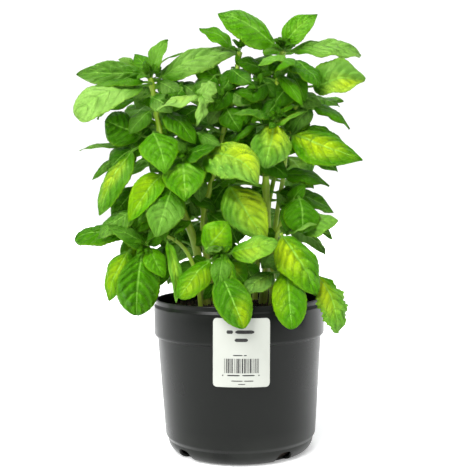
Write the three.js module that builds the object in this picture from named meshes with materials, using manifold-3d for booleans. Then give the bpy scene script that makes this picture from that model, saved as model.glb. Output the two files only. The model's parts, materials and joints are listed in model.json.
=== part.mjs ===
// A sweet basil plant in a round nursery pot.
//
// Units are millimetres and +Z is up. The origin is the middle of the pot's underside, and -Y is
// the front, where the care label is. The pot is a thin moulded shell with four drain notches. It
// holds a slightly mounded plug of soil with one socket for each stem. Every stem is a tapered tube
// along a smooth curve, and every leaf is a petiole and an arched, cupped blade in one solid.

import * as THREE from "three";
import { mergeVertices } from "three/addons/utils/BufferGeometryUtils.js";
import Module from "manifold-3d";

// ---- Driving dimensions ----------------------------------------------------------------------

const GAP = 0.3; // clearance that neighbouring solids keep
const TURN = 2 * Math.PI;

const pot = {
  height: 144,
  floorRadius: 57, // flat disc that the pot stands on
  baseRadius: 68.4, // top of the rounded base ring
  baseHeight: 13,
  bodyRadiusLow: 70.8,
  bodyRadiusHigh: 77,
  stepHeight: 109, // where the collar steps out from the body
  collarRadius: 80,
  lipRadius: 78.4,
  lipHeight: 5,
  wall: 1.8,
  segments: 56,
};

const drain = {
  angles: [36, 125, 220, 310], // degrees from the front, towards +X
  width: 17,
  height: 10.5,
  reach: 24, // how far the cutter runs along the radius
};

const soil = {
  rimLevel: 134, // at the wall
  mound: 3.5, // how much higher it is in the middle
  socketReach: 30, // length of stem that the cutter for its socket follows
  segments: 40,
};

const label = {
  width: 50,
  top: 135,
  bottom: 74.5,
  corner: 4,
  thickness: 0.6,
  centreDegrees: 1.2, // from the front, towards +X
  columns: 14,
};

const leafShape = {
  thickness: 1.1, // along the midrib; the edge is sharp
  petioleRadius: 1.2,
  stations: [0.07, 0.24, 0.43, 0.63, 0.83], // shares of the blade's length that carry a section
  across: [-1, -0.5, 0, 0.5, 1], // section points, from edge to edge
  rise: 0.62, // the outline is share^rise * (1 - share)^fall, scaled to a peak of 1
  fall: 0.8,
};

const STEM_SIDES = 8;
const SOCKET_SIDES = 8;

// ---- The plant -------------------------------------------------------------------------------
// A stem's path runs from its socket in the soil to its highest leaf pair. A leaf leaves the stem
// at a share of its length (at), its blade starts at the neck and ends at the tip, and its upper
// side looks along face. arch lifts the middle of the blade and cup lowers its edges, as shares of
// the blade's length and half width. A negative cup raises the edges.

const stems = {
  left: {
    radius: [3.4, 1.8],
    path: [[-28, -3, 118], [-33, -4, 156], [-41, -5, 197], [-55, -8, 237], [-68, -10, 285], [-76, -9, 330], [-79, -8, 349]],
    leaves: [
      { at: 0.5, neck: [-69, -25, 259], tip: [-98, -42, 217], width: 26, face: [0.2, -0.8, 0.6] },
      { at: 0.62, neck: [-50, -24, 274], tip: [-46, -54, 235], width: 42, face: [0, -0.85, 0.5] },
      { at: 0.66, neck: [-96, -24, 281], tip: [-126, -34, 223], width: 30, face: [-0.4, -0.8, 0.5] },
      { at: 0.78, neck: [-76, -24, 297], tip: [-63, -50, 260], width: 38, face: [0, -0.8, 0.6] },
      { at: 0.8, neck: [-88, -16, 296], tip: [-120, -24, 310], width: 38, face: [-0.1, -0.9, 0.4] },
      { at: 0.88, neck: [-64, -16, 318], tip: [-36, -32, 287], width: 26, face: [0.3, -0.8, 0.6] },
      { at: 0.97, neck: [-86, -14, 342], tip: [-142, -52, 312], width: 34, face: [-0.3, -0.9, 0.4] },
      { at: 0.97, neck: [-70, -4, 350], tip: [4, 18, 380], width: 32, face: [-0.2, -0.85, 0.5] },
      { at: 0.99, neck: [-86, -4, 353], tip: [-152, 2, 356], width: 29, face: [0, -0.9, 0.45] },
      { at: 0.99, neck: [-78, -2, 355], tip: [-62, -10, 384], width: 20, face: [-0.5, -0.8, 0.3] },
      { at: 0.9, neck: [-80, 8, 326], tip: [-104, 58, 314], width: 34, face: [-0.2, 0.4, 0.9] },
    ],
  },
  centre_left: {
    radius: [2.8, 1.5],
    path: [[-20, 5, 118], [-27, 3, 165], [-33, 0, 212], [-26, 0, 247], [-12, 2, 300], [-1, 4, 345], [4, 5, 374]],
    leaves: [
      { at: 0.55, neck: [-29, -22, 276], tip: [19, -66, 250], width: 45, arch: 0.16, face: [0.1, -0.85, 0.5] },
      { at: 0.98, neck: [-4, 6, 380], tip: [-34, 10, 396], width: 20, face: [0, -0.7, 0.7] },
      { at: 0.8, neck: [-8, 18, 326], tip: [-30, 54, 340], width: 32, face: [-0.1, 0.2, 1] },
    ],
  },
  centre_right: {
    radius: [3.2, 1.7],
    path: [[20, 6, 118], [26, 6, 165], [28, 5, 209], [27, 5, 261], [32, 4, 310], [40, 0, 350], [44, -3, 373]],
    leaves: [
      { at: 0.5, neck: [-7, -16, 248], tip: [25, -48, 199], width: 43, face: [-0.2, -0.85, 0.5] },
      { at: 0.72, neck: [34, -14, 304], tip: [24, -48, 264], width: 43, face: [0, -0.75, 0.65] },
      { at: 0.92, neck: [44, -14, 366], tip: [20, -44, 354], width: 24, face: [0, -0.2, 1] },
      { at: 0.93, neck: [54, -10, 363], tip: [74, -32, 336], width: 32, face: [0.4, -0.7, 0.6] },
      { at: 0.97, neck: [36, -6, 378], tip: [-16, -16, 407], width: 38, face: [-0.1, -0.8, 0.6] },
      { at: 0.98, neck: [52, 0, 374], tip: [122, 10, 375], width: 28, face: [0, -0.65, 0.75] },
      { at: 0.99, neck: [46, 0, 380], tip: [77, 0, 408], width: 26, face: [-0.4, -0.9, 0.2] },
      { at: 0.95, neck: [44, 10, 372], tip: [38, 54, 384], width: 34, face: [0, -0.2, 1] },
    ],
  },
  right: {
    radius: [2.4, 1.4],
    path: [[34, 19, 118], [33, 17, 175], [38, 13, 225], [43, 8, 253], [49, 0, 298], [56, 0, 322], [63, 2, 341]],
    leaves: [
      { at: 0.78, neck: [58, -4, 302], tip: [99, -4, 292], width: 20, face: [0.1, -0.4, 0.9] },
      { at: 0.76, neck: [51, -18, 294], tip: [111, -38, 268], width: 42, face: [0.1, -0.85, 0.5] },
      { at: 0.98, neck: [72, 0, 341], tip: [120, -12, 346], width: 38, face: [0, -0.9, 0.4] },
      { at: 0.9, neck: [64, 14, 330], tip: [102, 44, 326], width: 32, face: [0.2, 0.3, 0.9] },
    ],
  },
  right_low: {
    radius: [2.2, 1.5],
    path: [[30, -14, 118], [31, -12, 160], [35, -9, 199], [45, -9, 221], [56, -11, 240]],
    leaves: [
      { at: 0.98, neck: [57, -20, 236], tip: [58, -36, 205], width: 38, face: [0.1, -0.9, 0.4] },
      { at: 0.7, neck: [56, -18, 209], tip: [92, -24, 216], width: 31, face: [0, -0.7, 0.7] },
    ],
  },
  left_low: {
    radius: [2, 1.4],
    path: [[-34, -16, 118], [-38, -19, 160], [-46, -21, 186], [-62, -23, 203], [-76, -26, 203], [-87, -28, 195]],
    leaves: [
      { at: 0.93, neck: [-87, -36, 188], tip: [-92, -46, 132], width: 42, face: [0, -0.95, 0.3] },
      { at: 0.98, neck: [-100, -30, 190], tip: [-120, -36, 145], width: 27, face: [-0.2, -0.9, 0.3] },
      { at: 0.86, neck: [-98, -18, 208], tip: [-152, -22, 203], width: 28, face: [-0.1, -0.7, 0.7] },
      { at: 0.75, neck: [-94, -26, 228], tip: [-128, -40, 204], width: 26, face: [-0.3, -0.8, 0.5] },
    ],
  },
  front_left: {
    radius: [1.9, 1.3],
    path: [[-10, -34, 118], [-11, -38, 155], [-12, -42, 188]],
    leaves: [
      { at: 0.8, neck: [-15, -68, 170], tip: [4, -96, 128], width: 33, face: [0, -0.9, 0.45] },
      { at: 0.75, neck: [-26, -50, 182], tip: [-52, -76, 152], width: 30, face: [-0.2, -0.8, 0.6] },
      { at: 0.98, neck: [-6, -52, 189], tip: [34, -72, 199], width: 30, face: [0, -0.75, 0.6] },
      { at: 0.95, neck: [-29, -44, 192], tip: [-8, -52, 217], width: 33, face: [0.1, -0.9, 0.4] },
    ],
  },
  front_right: {
    radius: [1.9, 1.3],
    path: [[36, -34, 118], [41, -36, 160], [42, -33, 186], [39, -30, 205]],
    leaves: [
      { at: 0.98, neck: [40, -38, 202], tip: [68, -70, 153], width: 42, face: [0.2, -0.85, 0.5] },
      { at: 0.66, neck: [43, -47, 173], tip: [44, -92, 127], width: 33, face: [0, -0.9, 0.4] },
      { at: 0.6, neck: [72, -40, 166], tip: [88, -58, 117], width: 30, face: [0.3, -0.85, 0.4] },
      { at: 0.55, neck: [30, -42, 170], tip: [0, -62, 152], width: 26, face: [0, -0.5, 0.85] },
    ],
  },
  back_left: {
    radius: [2.6, 1.4],
    path: [[-18, 26, 118], [-24, 34, 180], [-38, 46, 240], [-50, 54, 295], [-56, 58, 328]],
    leaves: [
      { at: 0.55, neck: [-46, 58, 236], tip: [-78, 92, 206], width: 38, face: [-0.3, 0.7, 0.6] },
      { at: 0.75, neck: [-58, 46, 284], tip: [-112, 48, 262], width: 34, face: [-0.5, 0.3, 0.8] },
      { at: 0.97, neck: [-60, 68, 326], tip: [-78, 112, 300], width: 40, face: [-0.2, 0.6, 0.8] },
      { at: 0.35, neck: [-40, 44, 190], tip: [-88, 60, 160], width: 34, face: [-0.5, 0.5, 0.7] },
    ],
  },
  back_right: {
    radius: [2.6, 1.4],
    path: [[14, 30, 118], [20, 38, 180], [34, 48, 245], [47, 56, 300], [53, 60, 334]],
    leaves: [
      { at: 0.5, neck: [32, 56, 226], tip: [44, 98, 196], width: 38, face: [0.2, 0.8, 0.6] },
      { at: 0.75, neck: [56, 50, 288], tip: [104, 68, 264], width: 34, face: [0.5, 0.4, 0.8] },
      { at: 0.97, neck: [50, 70, 332], tip: [30, 114, 310], width: 40, face: [-0.1, 0.6, 0.8] },
    ],
  },
};

// ---- Materials -------------------------------------------------------------------------------

const plastic = new THREE.MeshStandardMaterial({ color: 0x2b2d2b, roughness: 0.5, metalness: 0 });
const peat = new THREE.MeshStandardMaterial({ color: 0x2a1d16, roughness: 1, metalness: 0 });
const paper = new THREE.MeshStandardMaterial({ color: 0xeef1ea, roughness: 0.6, metalness: 0 });
const stemGreen = new THREE.MeshStandardMaterial({ color: 0x7a9a36, roughness: 0.5, metalness: 0 });
const leafGreen = new THREE.MeshStandardMaterial({ color: 0x4f9a26, roughness: 0.45, metalness: 0 });

// ---- Helpers ---------------------------------------------------------------------------------

const wasm = await Module();
wasm.setup();

const vector = (p) => new THREE.Vector3(...p);

/** A closed skin over rings of equal length, with a fan from one point over each end. */
function loft(rings, startPoint, endPoint) {
  const size = rings[0].length;
  const points = [...rings.flat(), startPoint, endPoint];
  const start = points.length - 2;
  const end = points.length - 1;
  const last = (rings.length - 1) * size;
  const faces = [];
  for (let r = 0; r + 1 < rings.length; r++)
    for (let i = 0; i < size; i++) {
      const a = r * size + i;
      const b = r * size + ((i + 1) % size);
      faces.push(a, a + size, b, b, a + size, b + size);
    }
  for (let i = 0; i < size; i++) {
    const next = (i + 1) % size;
    faces.push(start, i, next);
    faces.push(end, last + next, last + i);
  }
  const geometry = new THREE.BufferGeometry().setFromPoints(points);
  geometry.setIndex(faces);
  geometry.computeVertexNormals();
  return geometry;
}

/** A geometry as a manifold-3d solid. */
function solidOf(geometry) {
  const bare = geometry.clone();
  bare.deleteAttribute("normal");
  bare.deleteAttribute("uv");
  const merged = mergeVertices(bare, 1e-4);
  return new wasm.Manifold(
    new wasm.Mesh({
      numProp: 3,
      vertProperties: merged.attributes.position.array,
      triVerts: new Uint32Array(merged.index.array),
    }),
  );
}

/** A manifold-3d solid as a geometry. */
function geometryOf(solid) {
  const { vertProperties, triVerts } = solid.getMesh();
  const geometry = new THREE.BufferGeometry();
  geometry.setAttribute("position", new THREE.BufferAttribute(vertProperties, 3));
  geometry.setIndex(new THREE.BufferAttribute(triVerts, 1));
  geometry.computeVertexNormals();
  return geometry;
}

function named(name, geometry, material) {
  const mesh = new THREE.Mesh(geometry, material);
  mesh.name = name;
  return mesh;
}

/** A profile of [radius, height] points turned about the Z axis. */
function turned(profile, segments) {
  const points = profile.map(([r, z]) => new THREE.Vector2(r, z));
  return new THREE.LatheGeometry(points, segments).rotateX(Math.PI / 2);
}

/** Points on a quarter ellipse from angle 0 at the side to 90 degrees, without its two ends. */
function roundedCorner(from, to, steps) {
  const points = [];
  for (let i = 1; i < steps; i++) {
    const angle = (i / steps) * (Math.PI / 2);
    points.push([
      from[0] + (to[0] - from[0]) * Math.sin(angle),
      to[1] + (from[1] - to[1]) * Math.cos(angle),
    ]);
  }
  return points;
}

// ---- Pot -------------------------------------------------------------------------------------

function makePot() {
  const p = pot;
  const outside = [
    [0, 0],
    [p.floorRadius, 0],
    ...roundedCorner([p.floorRadius, 0], [p.baseRadius, p.baseHeight], 4),
    [p.baseRadius, p.baseHeight],
    [p.bodyRadiusLow, p.baseHeight + 4],
    [p.bodyRadiusHigh, p.stepHeight],
    [p.collarRadius - 0.6, p.stepHeight + 1.6],
    [p.collarRadius, p.stepHeight + 3],
    [p.collarRadius, p.height - p.lipHeight - 1],
    [p.lipRadius, p.height - p.lipHeight + 0.6],
    [p.lipRadius, p.height - 0.8],
    [p.lipRadius - 0.7, p.height],
  ];
  const inside = [
    [p.lipRadius - p.wall, p.height],
    [p.lipRadius - p.wall - 0.3, p.height - p.lipHeight],
    [p.collarRadius - p.wall, p.height - p.lipHeight - 4],
    [p.collarRadius - p.wall, p.stepHeight + 3.5],
    [p.bodyRadiusHigh - p.wall, p.stepHeight],
    [p.bodyRadiusLow - p.wall - 0.2, p.baseHeight + 5],
    [p.baseRadius - p.wall, p.baseHeight + 1],
    ...roundedCorner([p.floorRadius - 1, p.wall], [p.baseRadius - p.wall, p.baseHeight], 3).reverse(),
    [p.floorRadius - 1, p.wall],
    [0, p.wall],
  ];
  let shell = solidOf(turned([...outside, ...inside], p.segments));
  for (const degrees of drain.angles) shell = shell.subtract(drainCutter(degrees));
  return named("pot", geometryOf(shell), plastic);
}

/** An arch-topped bar through the pot's bottom corner, at an angle from the front. */
function drainCutter(degrees) {
  const half = drain.width / 2;
  const shoulder = drain.height * 0.45;
  const outline = new THREE.Shape();
  outline.moveTo(-half, -2);
  outline.lineTo(half, -2);
  outline.lineTo(half, shoulder);
  outline.quadraticCurveTo(half * 0.85, drain.height, half * 0.4, drain.height);
  outline.lineTo(-half * 0.4, drain.height);
  outline.quadraticCurveTo(-half * 0.85, drain.height, -half, shoulder);
  const bar = new THREE.ExtrudeGeometry(outline, { depth: drain.reach, bevelEnabled: false, curveSegments: 3 });
  bar.rotateX(Math.PI / 2); // the outline stands up and the bar runs towards -Y
  bar.translate(0, -(pot.floorRadius - 2), 0);
  bar.rotateZ((degrees * Math.PI) / 180);
  return solidOf(bar);
}

// ---- Soil ------------------------------------------------------------------------------------

function makeSoil(curves) {
  const p = pot;
  const wall = p.wall + GAP;
  const top = soil.rimLevel;
  const profile = [
    [0, wall],
    [p.floorRadius - 4, wall],
    [p.baseRadius - wall - 3, p.baseHeight],
    [p.bodyRadiusLow - wall - 1, p.baseHeight + 6],
    [p.bodyRadiusHigh - wall - 0.4, p.stepHeight],
    [p.collarRadius - wall - 0.4, p.stepHeight + 5],
    [p.collarRadius - wall - 0.4, top],
    [p.collarRadius * 0.6, top + soil.mound * 0.8],
    [0, top + soil.mound],
  ];
  let plug = solidOf(turned(profile, soil.segments));
  for (const [name, curve] of curves) {
    const part = soil.socketReach / curve.getLength();
    const socket = stemTube(curve, stems[name].radius, GAP + 0.1, SOCKET_SIDES, part, 4);
    plug = plug.subtract(solidOf(socket));
  }
  return named("soil", geometryOf(plug), peat);
}

// ---- Stems -----------------------------------------------------------------------------------

/** The stem's radius at a share of its length. */
const radiusAt = ([low, high], share) => low + (high - low) * share;

/** A tapered tube of the stem's radius plus extra, over the first part of its curve. */
function stemTube(curve, radius, extra, sides, part, steps) {
  const rings = [];
  for (let k = 0; k <= steps; k++) {
    const share = (part * k) / steps;
    const centre = curve.getPointAt(share);
    if (k === 0) centre.z -= extra;
    const along = curve.getTangentAt(share);
    const side = new THREE.Vector3(0, 1, 0).cross(along).normalize();
    const ring = [];
    for (let i = 0; i < sides; i++) {
      const arm = side.clone().applyAxisAngle(along, (-TURN * i) / sides);
      ring.push(centre.clone().addScaledVector(arm, radiusAt(radius, share) + extra));
    }
    rings.push(ring);
  }
  const first = curve.getPointAt(0);
  first.z -= extra;
  return loft(rings, first, curve.getPointAt(part));
}

function makeStem(name, curve) {
  const steps = Math.max(6, Math.round(curve.getLength() / 22));
  const tube = stemTube(curve, stems[name].radius, 0, STEM_SIDES, 1, steps);
  return named(`${name}_stem`, tube, stemGreen);
}

// ---- Leaves ----------------------------------------------------------------------------------

/** Half the blade's width at a share of its length, for a half width of 1 at the widest. */
function outline(share) {
  const { rise, fall } = leafShape;
  const widest = rise / (rise + fall);
  const peak = widest ** rise * (1 - widest) ** fall;
  return (share ** rise * (1 - share) ** fall) / peak;
}

/** One section of a leaf: points across the upper side, then back along the lower side. */
function leafSection(centre, along, face, halfWidth, thickness, cup) {
  const up = face.clone().addScaledVector(along, -face.dot(along)).normalize();
  const side = new THREE.Vector3().crossVectors(up, along);
  const point = (s, lift) =>
    centre
      .clone()
      .addScaledVector(side, s * halfWidth)
      .addScaledVector(up, lift * (1 - s * s) * (thickness / 2) - cup * halfWidth * s * s);
  const upper = leafShape.across.map((s) => point(s, 1));
  const lower = leafShape.across.slice(1, -1).reverse().map((s) => point(s, -1));
  return [...upper, ...lower];
}

function makeLeaf(name, row, stemCurve, stemRadius) {
  const { arch = 0.1, cup = 0.28 } = row;
  const neck = vector(row.neck);
  const tip = vector(row.tip);
  const face = vector(row.face).normalize();
  const onStem = stemCurve.getPointAt(row.at);
  const stemAlong = stemCurve.getTangentAt(row.at);
  const away = neck.clone().sub(onStem);
  away.addScaledVector(stemAlong, -away.dot(stemAlong)).normalize();
  const reach = radiusAt(stemRadius, row.at) + leafShape.petioleRadius + GAP;
  const root = onStem.addScaledVector(away, reach);
  const bladeLength = neck.distanceTo(tip);
  const middle = neck.clone().lerp(tip, 0.5).addScaledVector(face, arch * bladeLength);

  const petiole = new THREE.LineCurve3(root, neck);
  const blade = new THREE.QuadraticBezierCurve3(neck, middle.multiplyScalar(2).sub(neck.clone().lerp(tip, 0.5)), tip);
  const rings = [];
  const section = (curve, share, halfWidth, thickness, cupping) =>
    leafSection(curve.getPoint(share).sub(root), curve.getTangent(share), face, halfWidth, thickness, cupping);
  const stalk = leafShape.petioleRadius;
  rings.push(section(petiole, 0, stalk, 2 * stalk, 0));
  rings.push(section(petiole, 0.9, stalk, 2 * stalk, 0));
  for (const share of leafShape.stations)
    rings.push(section(blade, share, (row.width / 2) * outline(share), leafShape.thickness, cup));

  const mesh = named(name, loft(rings, new THREE.Vector3(), tip.clone().sub(root)), leafGreen);
  mesh.position.copy(root);
  return mesh;
}

// ---- Label -----------------------------------------------------------------------------------

/** A stiff sheet with round corners that touches the collar and hangs straight down below it. */
function makeLabel() {
  const inner = pot.collarRadius + GAP;
  const outer = inner + label.thickness;
  const half = label.width / 2;
  const rings = [];
  for (let i = 0; i <= label.columns; i++) {
    const across = -half + (label.width * i) / label.columns;
    const intoCorner = Math.max(0, Math.abs(across) - (half - label.corner));
    const cut = label.corner - Math.sqrt(Math.max(0, label.corner ** 2 - intoCorner ** 2));
    const angle = across / outer + (label.centreDegrees * Math.PI) / 180;
    const at = (r, z) => new THREE.Vector3(r * Math.sin(angle), -r * Math.cos(angle), z);
    rings.push([
      at(inner, label.bottom + cut),
      at(outer, label.bottom + cut),
      at(outer, label.top - cut),
      at(inner, label.top - cut),
    ]);
  }
  const middleOf = (ring) =>
    ring.reduce((sum, p) => sum.add(p), new THREE.Vector3()).divideScalar(ring.length);
  return named("label", loft(rings, middleOf(rings[0]), middleOf(rings.at(-1))), paper);
}

// ---- Assembly --------------------------------------------------------------------------------

const curves = new Map(
  Object.entries(stems).map(([name, stem]) => [name, new THREE.CatmullRomCurve3(stem.path.map(vector))]),
);

const plant = new THREE.Group();
for (const [name, stem] of Object.entries(stems)) {
  plant.add(makeStem(name, curves.get(name)));
  stem.leaves.forEach((row, i) => {
    plant.add(makeLeaf(`${name}_leaf_${i + 1}`, row, curves.get(name), stem.radius));
  });
}

const basil = new THREE.Group();
basil.add(makePot(), makeSoil(curves), makeLabel(), plant);

export default basil;
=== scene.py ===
# %% [markdown]
# # A potted sweet basil plant
#
# This lesson dresses a plain, exact frame of a basil plant in a nursery pot with finished surfaces. The
# frame gives the place of every stem and large leaf, so nothing of theirs is placed anew here:
# each blade, stem and shell is rebuilt finely on the solid that it stands for.
#
# The order is: node helpers, stage and camera, the shared shader effects, then pot, soil, label, stems,
# large leaves, side leaves, and at last the young leaves that fill the plant out.

import json
import math
import random

import bmesh
import bpy
import numpy as np
from mathutils import Matrix, Vector
from mathutils.bvhtree import BVHTree

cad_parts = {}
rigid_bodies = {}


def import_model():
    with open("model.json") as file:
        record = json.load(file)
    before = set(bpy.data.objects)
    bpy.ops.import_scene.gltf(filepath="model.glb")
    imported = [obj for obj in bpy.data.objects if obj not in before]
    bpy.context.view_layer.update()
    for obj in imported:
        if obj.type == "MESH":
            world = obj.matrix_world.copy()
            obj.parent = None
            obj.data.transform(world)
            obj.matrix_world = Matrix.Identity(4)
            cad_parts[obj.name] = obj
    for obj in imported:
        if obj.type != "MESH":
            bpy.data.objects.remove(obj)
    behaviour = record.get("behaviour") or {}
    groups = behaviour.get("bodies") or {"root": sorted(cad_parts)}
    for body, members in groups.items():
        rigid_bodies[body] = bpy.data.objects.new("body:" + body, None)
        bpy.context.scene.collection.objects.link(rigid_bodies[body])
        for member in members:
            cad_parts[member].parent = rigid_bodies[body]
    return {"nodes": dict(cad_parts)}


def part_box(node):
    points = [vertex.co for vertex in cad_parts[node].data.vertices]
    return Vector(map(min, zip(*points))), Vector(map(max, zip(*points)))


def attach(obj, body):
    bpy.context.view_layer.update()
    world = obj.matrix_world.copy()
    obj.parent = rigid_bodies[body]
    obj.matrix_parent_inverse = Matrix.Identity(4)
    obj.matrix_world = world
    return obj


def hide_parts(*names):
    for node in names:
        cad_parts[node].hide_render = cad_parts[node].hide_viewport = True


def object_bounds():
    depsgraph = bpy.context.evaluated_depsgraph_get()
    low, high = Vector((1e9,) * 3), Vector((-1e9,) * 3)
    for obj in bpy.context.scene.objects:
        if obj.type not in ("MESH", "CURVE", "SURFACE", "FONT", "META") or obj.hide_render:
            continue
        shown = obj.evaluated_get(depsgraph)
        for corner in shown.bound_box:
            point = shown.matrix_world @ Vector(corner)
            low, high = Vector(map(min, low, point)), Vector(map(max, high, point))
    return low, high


MM = 0.001

for old in list(bpy.data.objects):
    bpy.data.objects.remove(old)
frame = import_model()
cad_low, cad_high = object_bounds()
nodes = frame["nodes"]
print(f"{len(nodes)} frame solids, {(cad_high.z - cad_low.z) / MM:.0f} mm tall")

# %% [markdown]
# ## Node helpers
#
# World, floor, plastic, paper, stems, soil and leaves are all made of nodes. The helpers below add a node
# and feed its inputs in one line, so that each finish reads as a short recipe.

# %% Node helpers
FLOAT = "NodeSocketFloat"
COLOUR = "NodeSocketColor"


def add_node(tree, kind, settings=None, **inputs):
    """Adds a node. Settings are its own properties, and the rest goes to its inputs."""
    node = tree.nodes.new(kind)
    for name, value in (settings or {}).items():
        setattr(node, name, value)
    return feed(tree, node, **inputs)


def feed(tree, node, **inputs):
    """Gives a node's inputs values or sockets, by input name, or by number after the letter i."""
    for name, value in inputs.items():
        key = int(name[1:]) if name[0] == "i" and name[1:].isdigit() else name.replace("_", " ")
        if isinstance(value, bpy.types.NodeSocket):
            tree.links.new(value, node.inputs[key])
        else:
            node.inputs[key].default_value = value
    return node


def math_node(tree, operation, a, b=0.0, clamp=False):
    """The result of one Math node."""
    return add_node(
        tree, "ShaderNodeMath", {"operation": operation, "use_clamp": clamp}, i0=a, i1=b,
    ).outputs[0]


def times(tree, a, b, clamp=False):
    """The product of two values."""
    return math_node(tree, "MULTIPLY", a, b, clamp)


def ramp(tree, value, start, end, low=0.0, high=1.0):
    """A value moved from the range between start and end to the one between low and high, and held there."""
    node = add_node(
        tree, "ShaderNodeMapRange", Value=value, From_Min=start, From_Max=end, To_Min=low, To_Max=high,
    )
    return node.outputs[0]


def mix_colour(tree, share, first, second):
    """The result of mixing two colours by a share."""
    return add_node(tree, "ShaderNodeMix", {"data_type": "RGBA"}, i0=share, i6=first, i7=second).outputs[2]


def mix_shader(tree, share, first, second):
    """The result of mixing two shaders by a share."""
    return add_node(tree, "ShaderNodeMixShader", i0=share, i1=first, i2=second).outputs[0]


def split(tree, vector):
    """The X, Y and Z outputs of a vector."""
    return add_node(tree, "ShaderNodeSeparateXYZ", Vector=vector).outputs


def attribute(tree, name):
    """The outputs of a named attribute of the mesh."""
    return add_node(tree, "ShaderNodeAttribute", {"attribute_name": name}).outputs


def object_place(tree):
    """The place of the shaded point, in the object's own coordinates."""
    return tree.nodes.new("ShaderNodeTexCoord").outputs["Object"]


def shader_group(name, inputs, outputs):
    """An empty shader group with named sockets. Returns it with its input sockets and its output node."""
    tree = bpy.data.node_groups.new(name, "ShaderNodeTree")
    for label, kind, default in inputs:
        tree.interface.new_socket(label, in_out="INPUT", socket_type=kind).default_value = default
    for label, kind in outputs:
        tree.interface.new_socket(label, in_out="OUTPUT", socket_type=kind)
    return tree, tree.nodes.new("NodeGroupInput").outputs, tree.nodes.new("NodeGroupOutput")


def use_group(tree, group, **inputs):
    """The outputs of a group placed in a material."""
    return add_node(tree, "ShaderNodeGroup", {"node_tree": group}, **inputs).outputs


def new_material(name):
    """A material with a Principled shader joined to its output."""
    material = bpy.data.materials.new(name)
    material.use_nodes = True
    tree = material.node_tree
    tree.nodes.clear()
    shader = tree.nodes.new("ShaderNodeBsdfPrincipled")
    output = add_node(tree, "ShaderNodeOutputMaterial", Surface=shader.outputs[0])
    return material, tree, shader, output


print("helpers ready")

# %% [markdown]
# ## Stage
#
# A plant is easiest to judge in light that comes from nearly everywhere, with a larger, stronger source
# above to give the blades a bright side and a dark side. A white world does the first. It is dimmer in
# front, as a room behind a camera is, and that leaves a dark band down the middle of the glossy pot. Two
# very soft suns do the second. A sun lights a wide floor evenly, so floor and backdrop meet without a line.

# %% World
LIGHT_FROM_FRONT = 0.05
LIGHT_FROM_ELSEWHERE = 0.5
FRONT_BEGINS = -0.1
FRONT_IS_DARKEST = -0.8
WHITE_BEHIND = 1.1

world = bpy.data.worlds.new("white studio")
world.use_nodes = True
bpy.context.scene.world = world
sky = world.node_tree
sky.nodes.clear()
direction = split(sky, sky.nodes.new("ShaderNodeTexCoord").outputs["Generated"])
strength = ramp(sky, direction["Y"], FRONT_IS_DARKEST, FRONT_BEGINS, LIGHT_FROM_FRONT, LIGHT_FROM_ELSEWHERE)
lighting = add_node(sky, "ShaderNodeBackground", Color=(0.98, 0.99, 1.0, 1.0), Strength=strength)
backdrop = add_node(sky, "ShaderNodeBackground", Color=(1.0, 1.0, 1.0, 1.0), Strength=WHITE_BEHIND)
seen = sky.nodes.new("ShaderNodeLightPath").outputs["Is Camera Ray"]
either = mix_shader(sky, seen, lighting.outputs[0], backdrop.outputs[0])
add_node(sky, "ShaderNodeOutputWorld", Surface=either)
bpy.context.scene.view_settings.view_transform = "Standard"
print("world lights with", LIGHT_FROM_ELSEWHERE)

# %% Soft suns


def sun(name, azimuth_degrees, height_degrees, strength, softness_degrees):
    """A distant lamp: azimuth 0 is in front of the plant, and a positive azimuth is to its right."""
    azimuth = math.radians(azimuth_degrees)
    height = math.radians(height_degrees)
    towards = Vector(
        (math.sin(azimuth) * math.cos(height), -math.cos(azimuth) * math.cos(height), math.sin(height))
    )
    data = bpy.data.lights.new(name, "SUN")
    data.energy = strength
    data.angle = math.radians(softness_degrees)
    lamp = bpy.data.objects.new(name, data)
    lamp.rotation_euler = (-towards).to_track_quat("-Z", "Y").to_euler()
    bpy.context.scene.collection.objects.link(lamp)


sun("key", -30, 46, 4.65, 46)
sun("top", 150, 72, 1.2, 80)
print("two suns")

# %% Camera and floor
CAMERA_PLACE = (-0.001, -0.85, 0.243)
CAMERA_DOWN = math.radians(2.86)
CAMERA_ROLL = math.radians(-0.745)
LENS_MM = 68.55
FLOOR_HALF = 6.0

camera_data = bpy.data.cameras.new("camera")
camera_data.sensor_width = 36.0
camera_data.lens = LENS_MM
camera = bpy.data.objects.new("camera", camera_data)
camera.matrix_world = (
    Matrix.Translation(CAMERA_PLACE)
    @ Matrix.Rotation(math.radians(90) - CAMERA_DOWN, 4, "X")
    @ Matrix.Rotation(CAMERA_ROLL, 4, "Z")
)
bpy.context.scene.collection.objects.link(camera)
bpy.context.scene.camera = camera

floor_mesh = bpy.data.meshes.new("floor")
corners = [(x * FLOOR_HALF, y * FLOOR_HALF, 0) for x, y in [(-1, -1), (1, -1), (1, 1), (-1, 1)]]
floor_mesh.from_pydata(corners, [], [(0, 1, 2, 3)])
floor = bpy.data.objects.new("floor", floor_mesh)
bpy.context.scene.collection.objects.link(floor)
print("camera at", CAMERA_PLACE)

# %% Floor finish
FLOOR_GLOW = 0.36
DARK_FROM = -0.45
DARK_BY = -0.8

material, tree, shader, output = new_material("pale floor")
feed(
    tree, shader, Base_Color=(0.95, 0.96, 0.96, 1), Roughness=1.0, Specular_IOR_Level=0.0,
    Emission_Color=(1.0, 1.0, 1.0, 1), Emission_Strength=FLOOR_GLOW,
)
# Painted reflection: far in front, the floor is dark to glossy rays only, so the pot's collar reflects a dark
# band while the floor itself looks white.
far_front = ramp(tree, split(tree, object_place(tree))["Y"], DARK_FROM, DARK_BY)
mirrored = tree.nodes.new("ShaderNodeLightPath").outputs["Is Glossy Ray"]
reflected_dark = add_node(tree, "ShaderNodeBsdfDiffuse", Color=(0.01, 0.01, 0.01, 1))
either = mix_shader(tree, times(tree, far_front, mirrored), shader.outputs[0], reflected_dark.outputs[0])
feed(tree, output, Surface=either)
floor_mesh.materials.append(material)
print("floor is pale")

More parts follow.
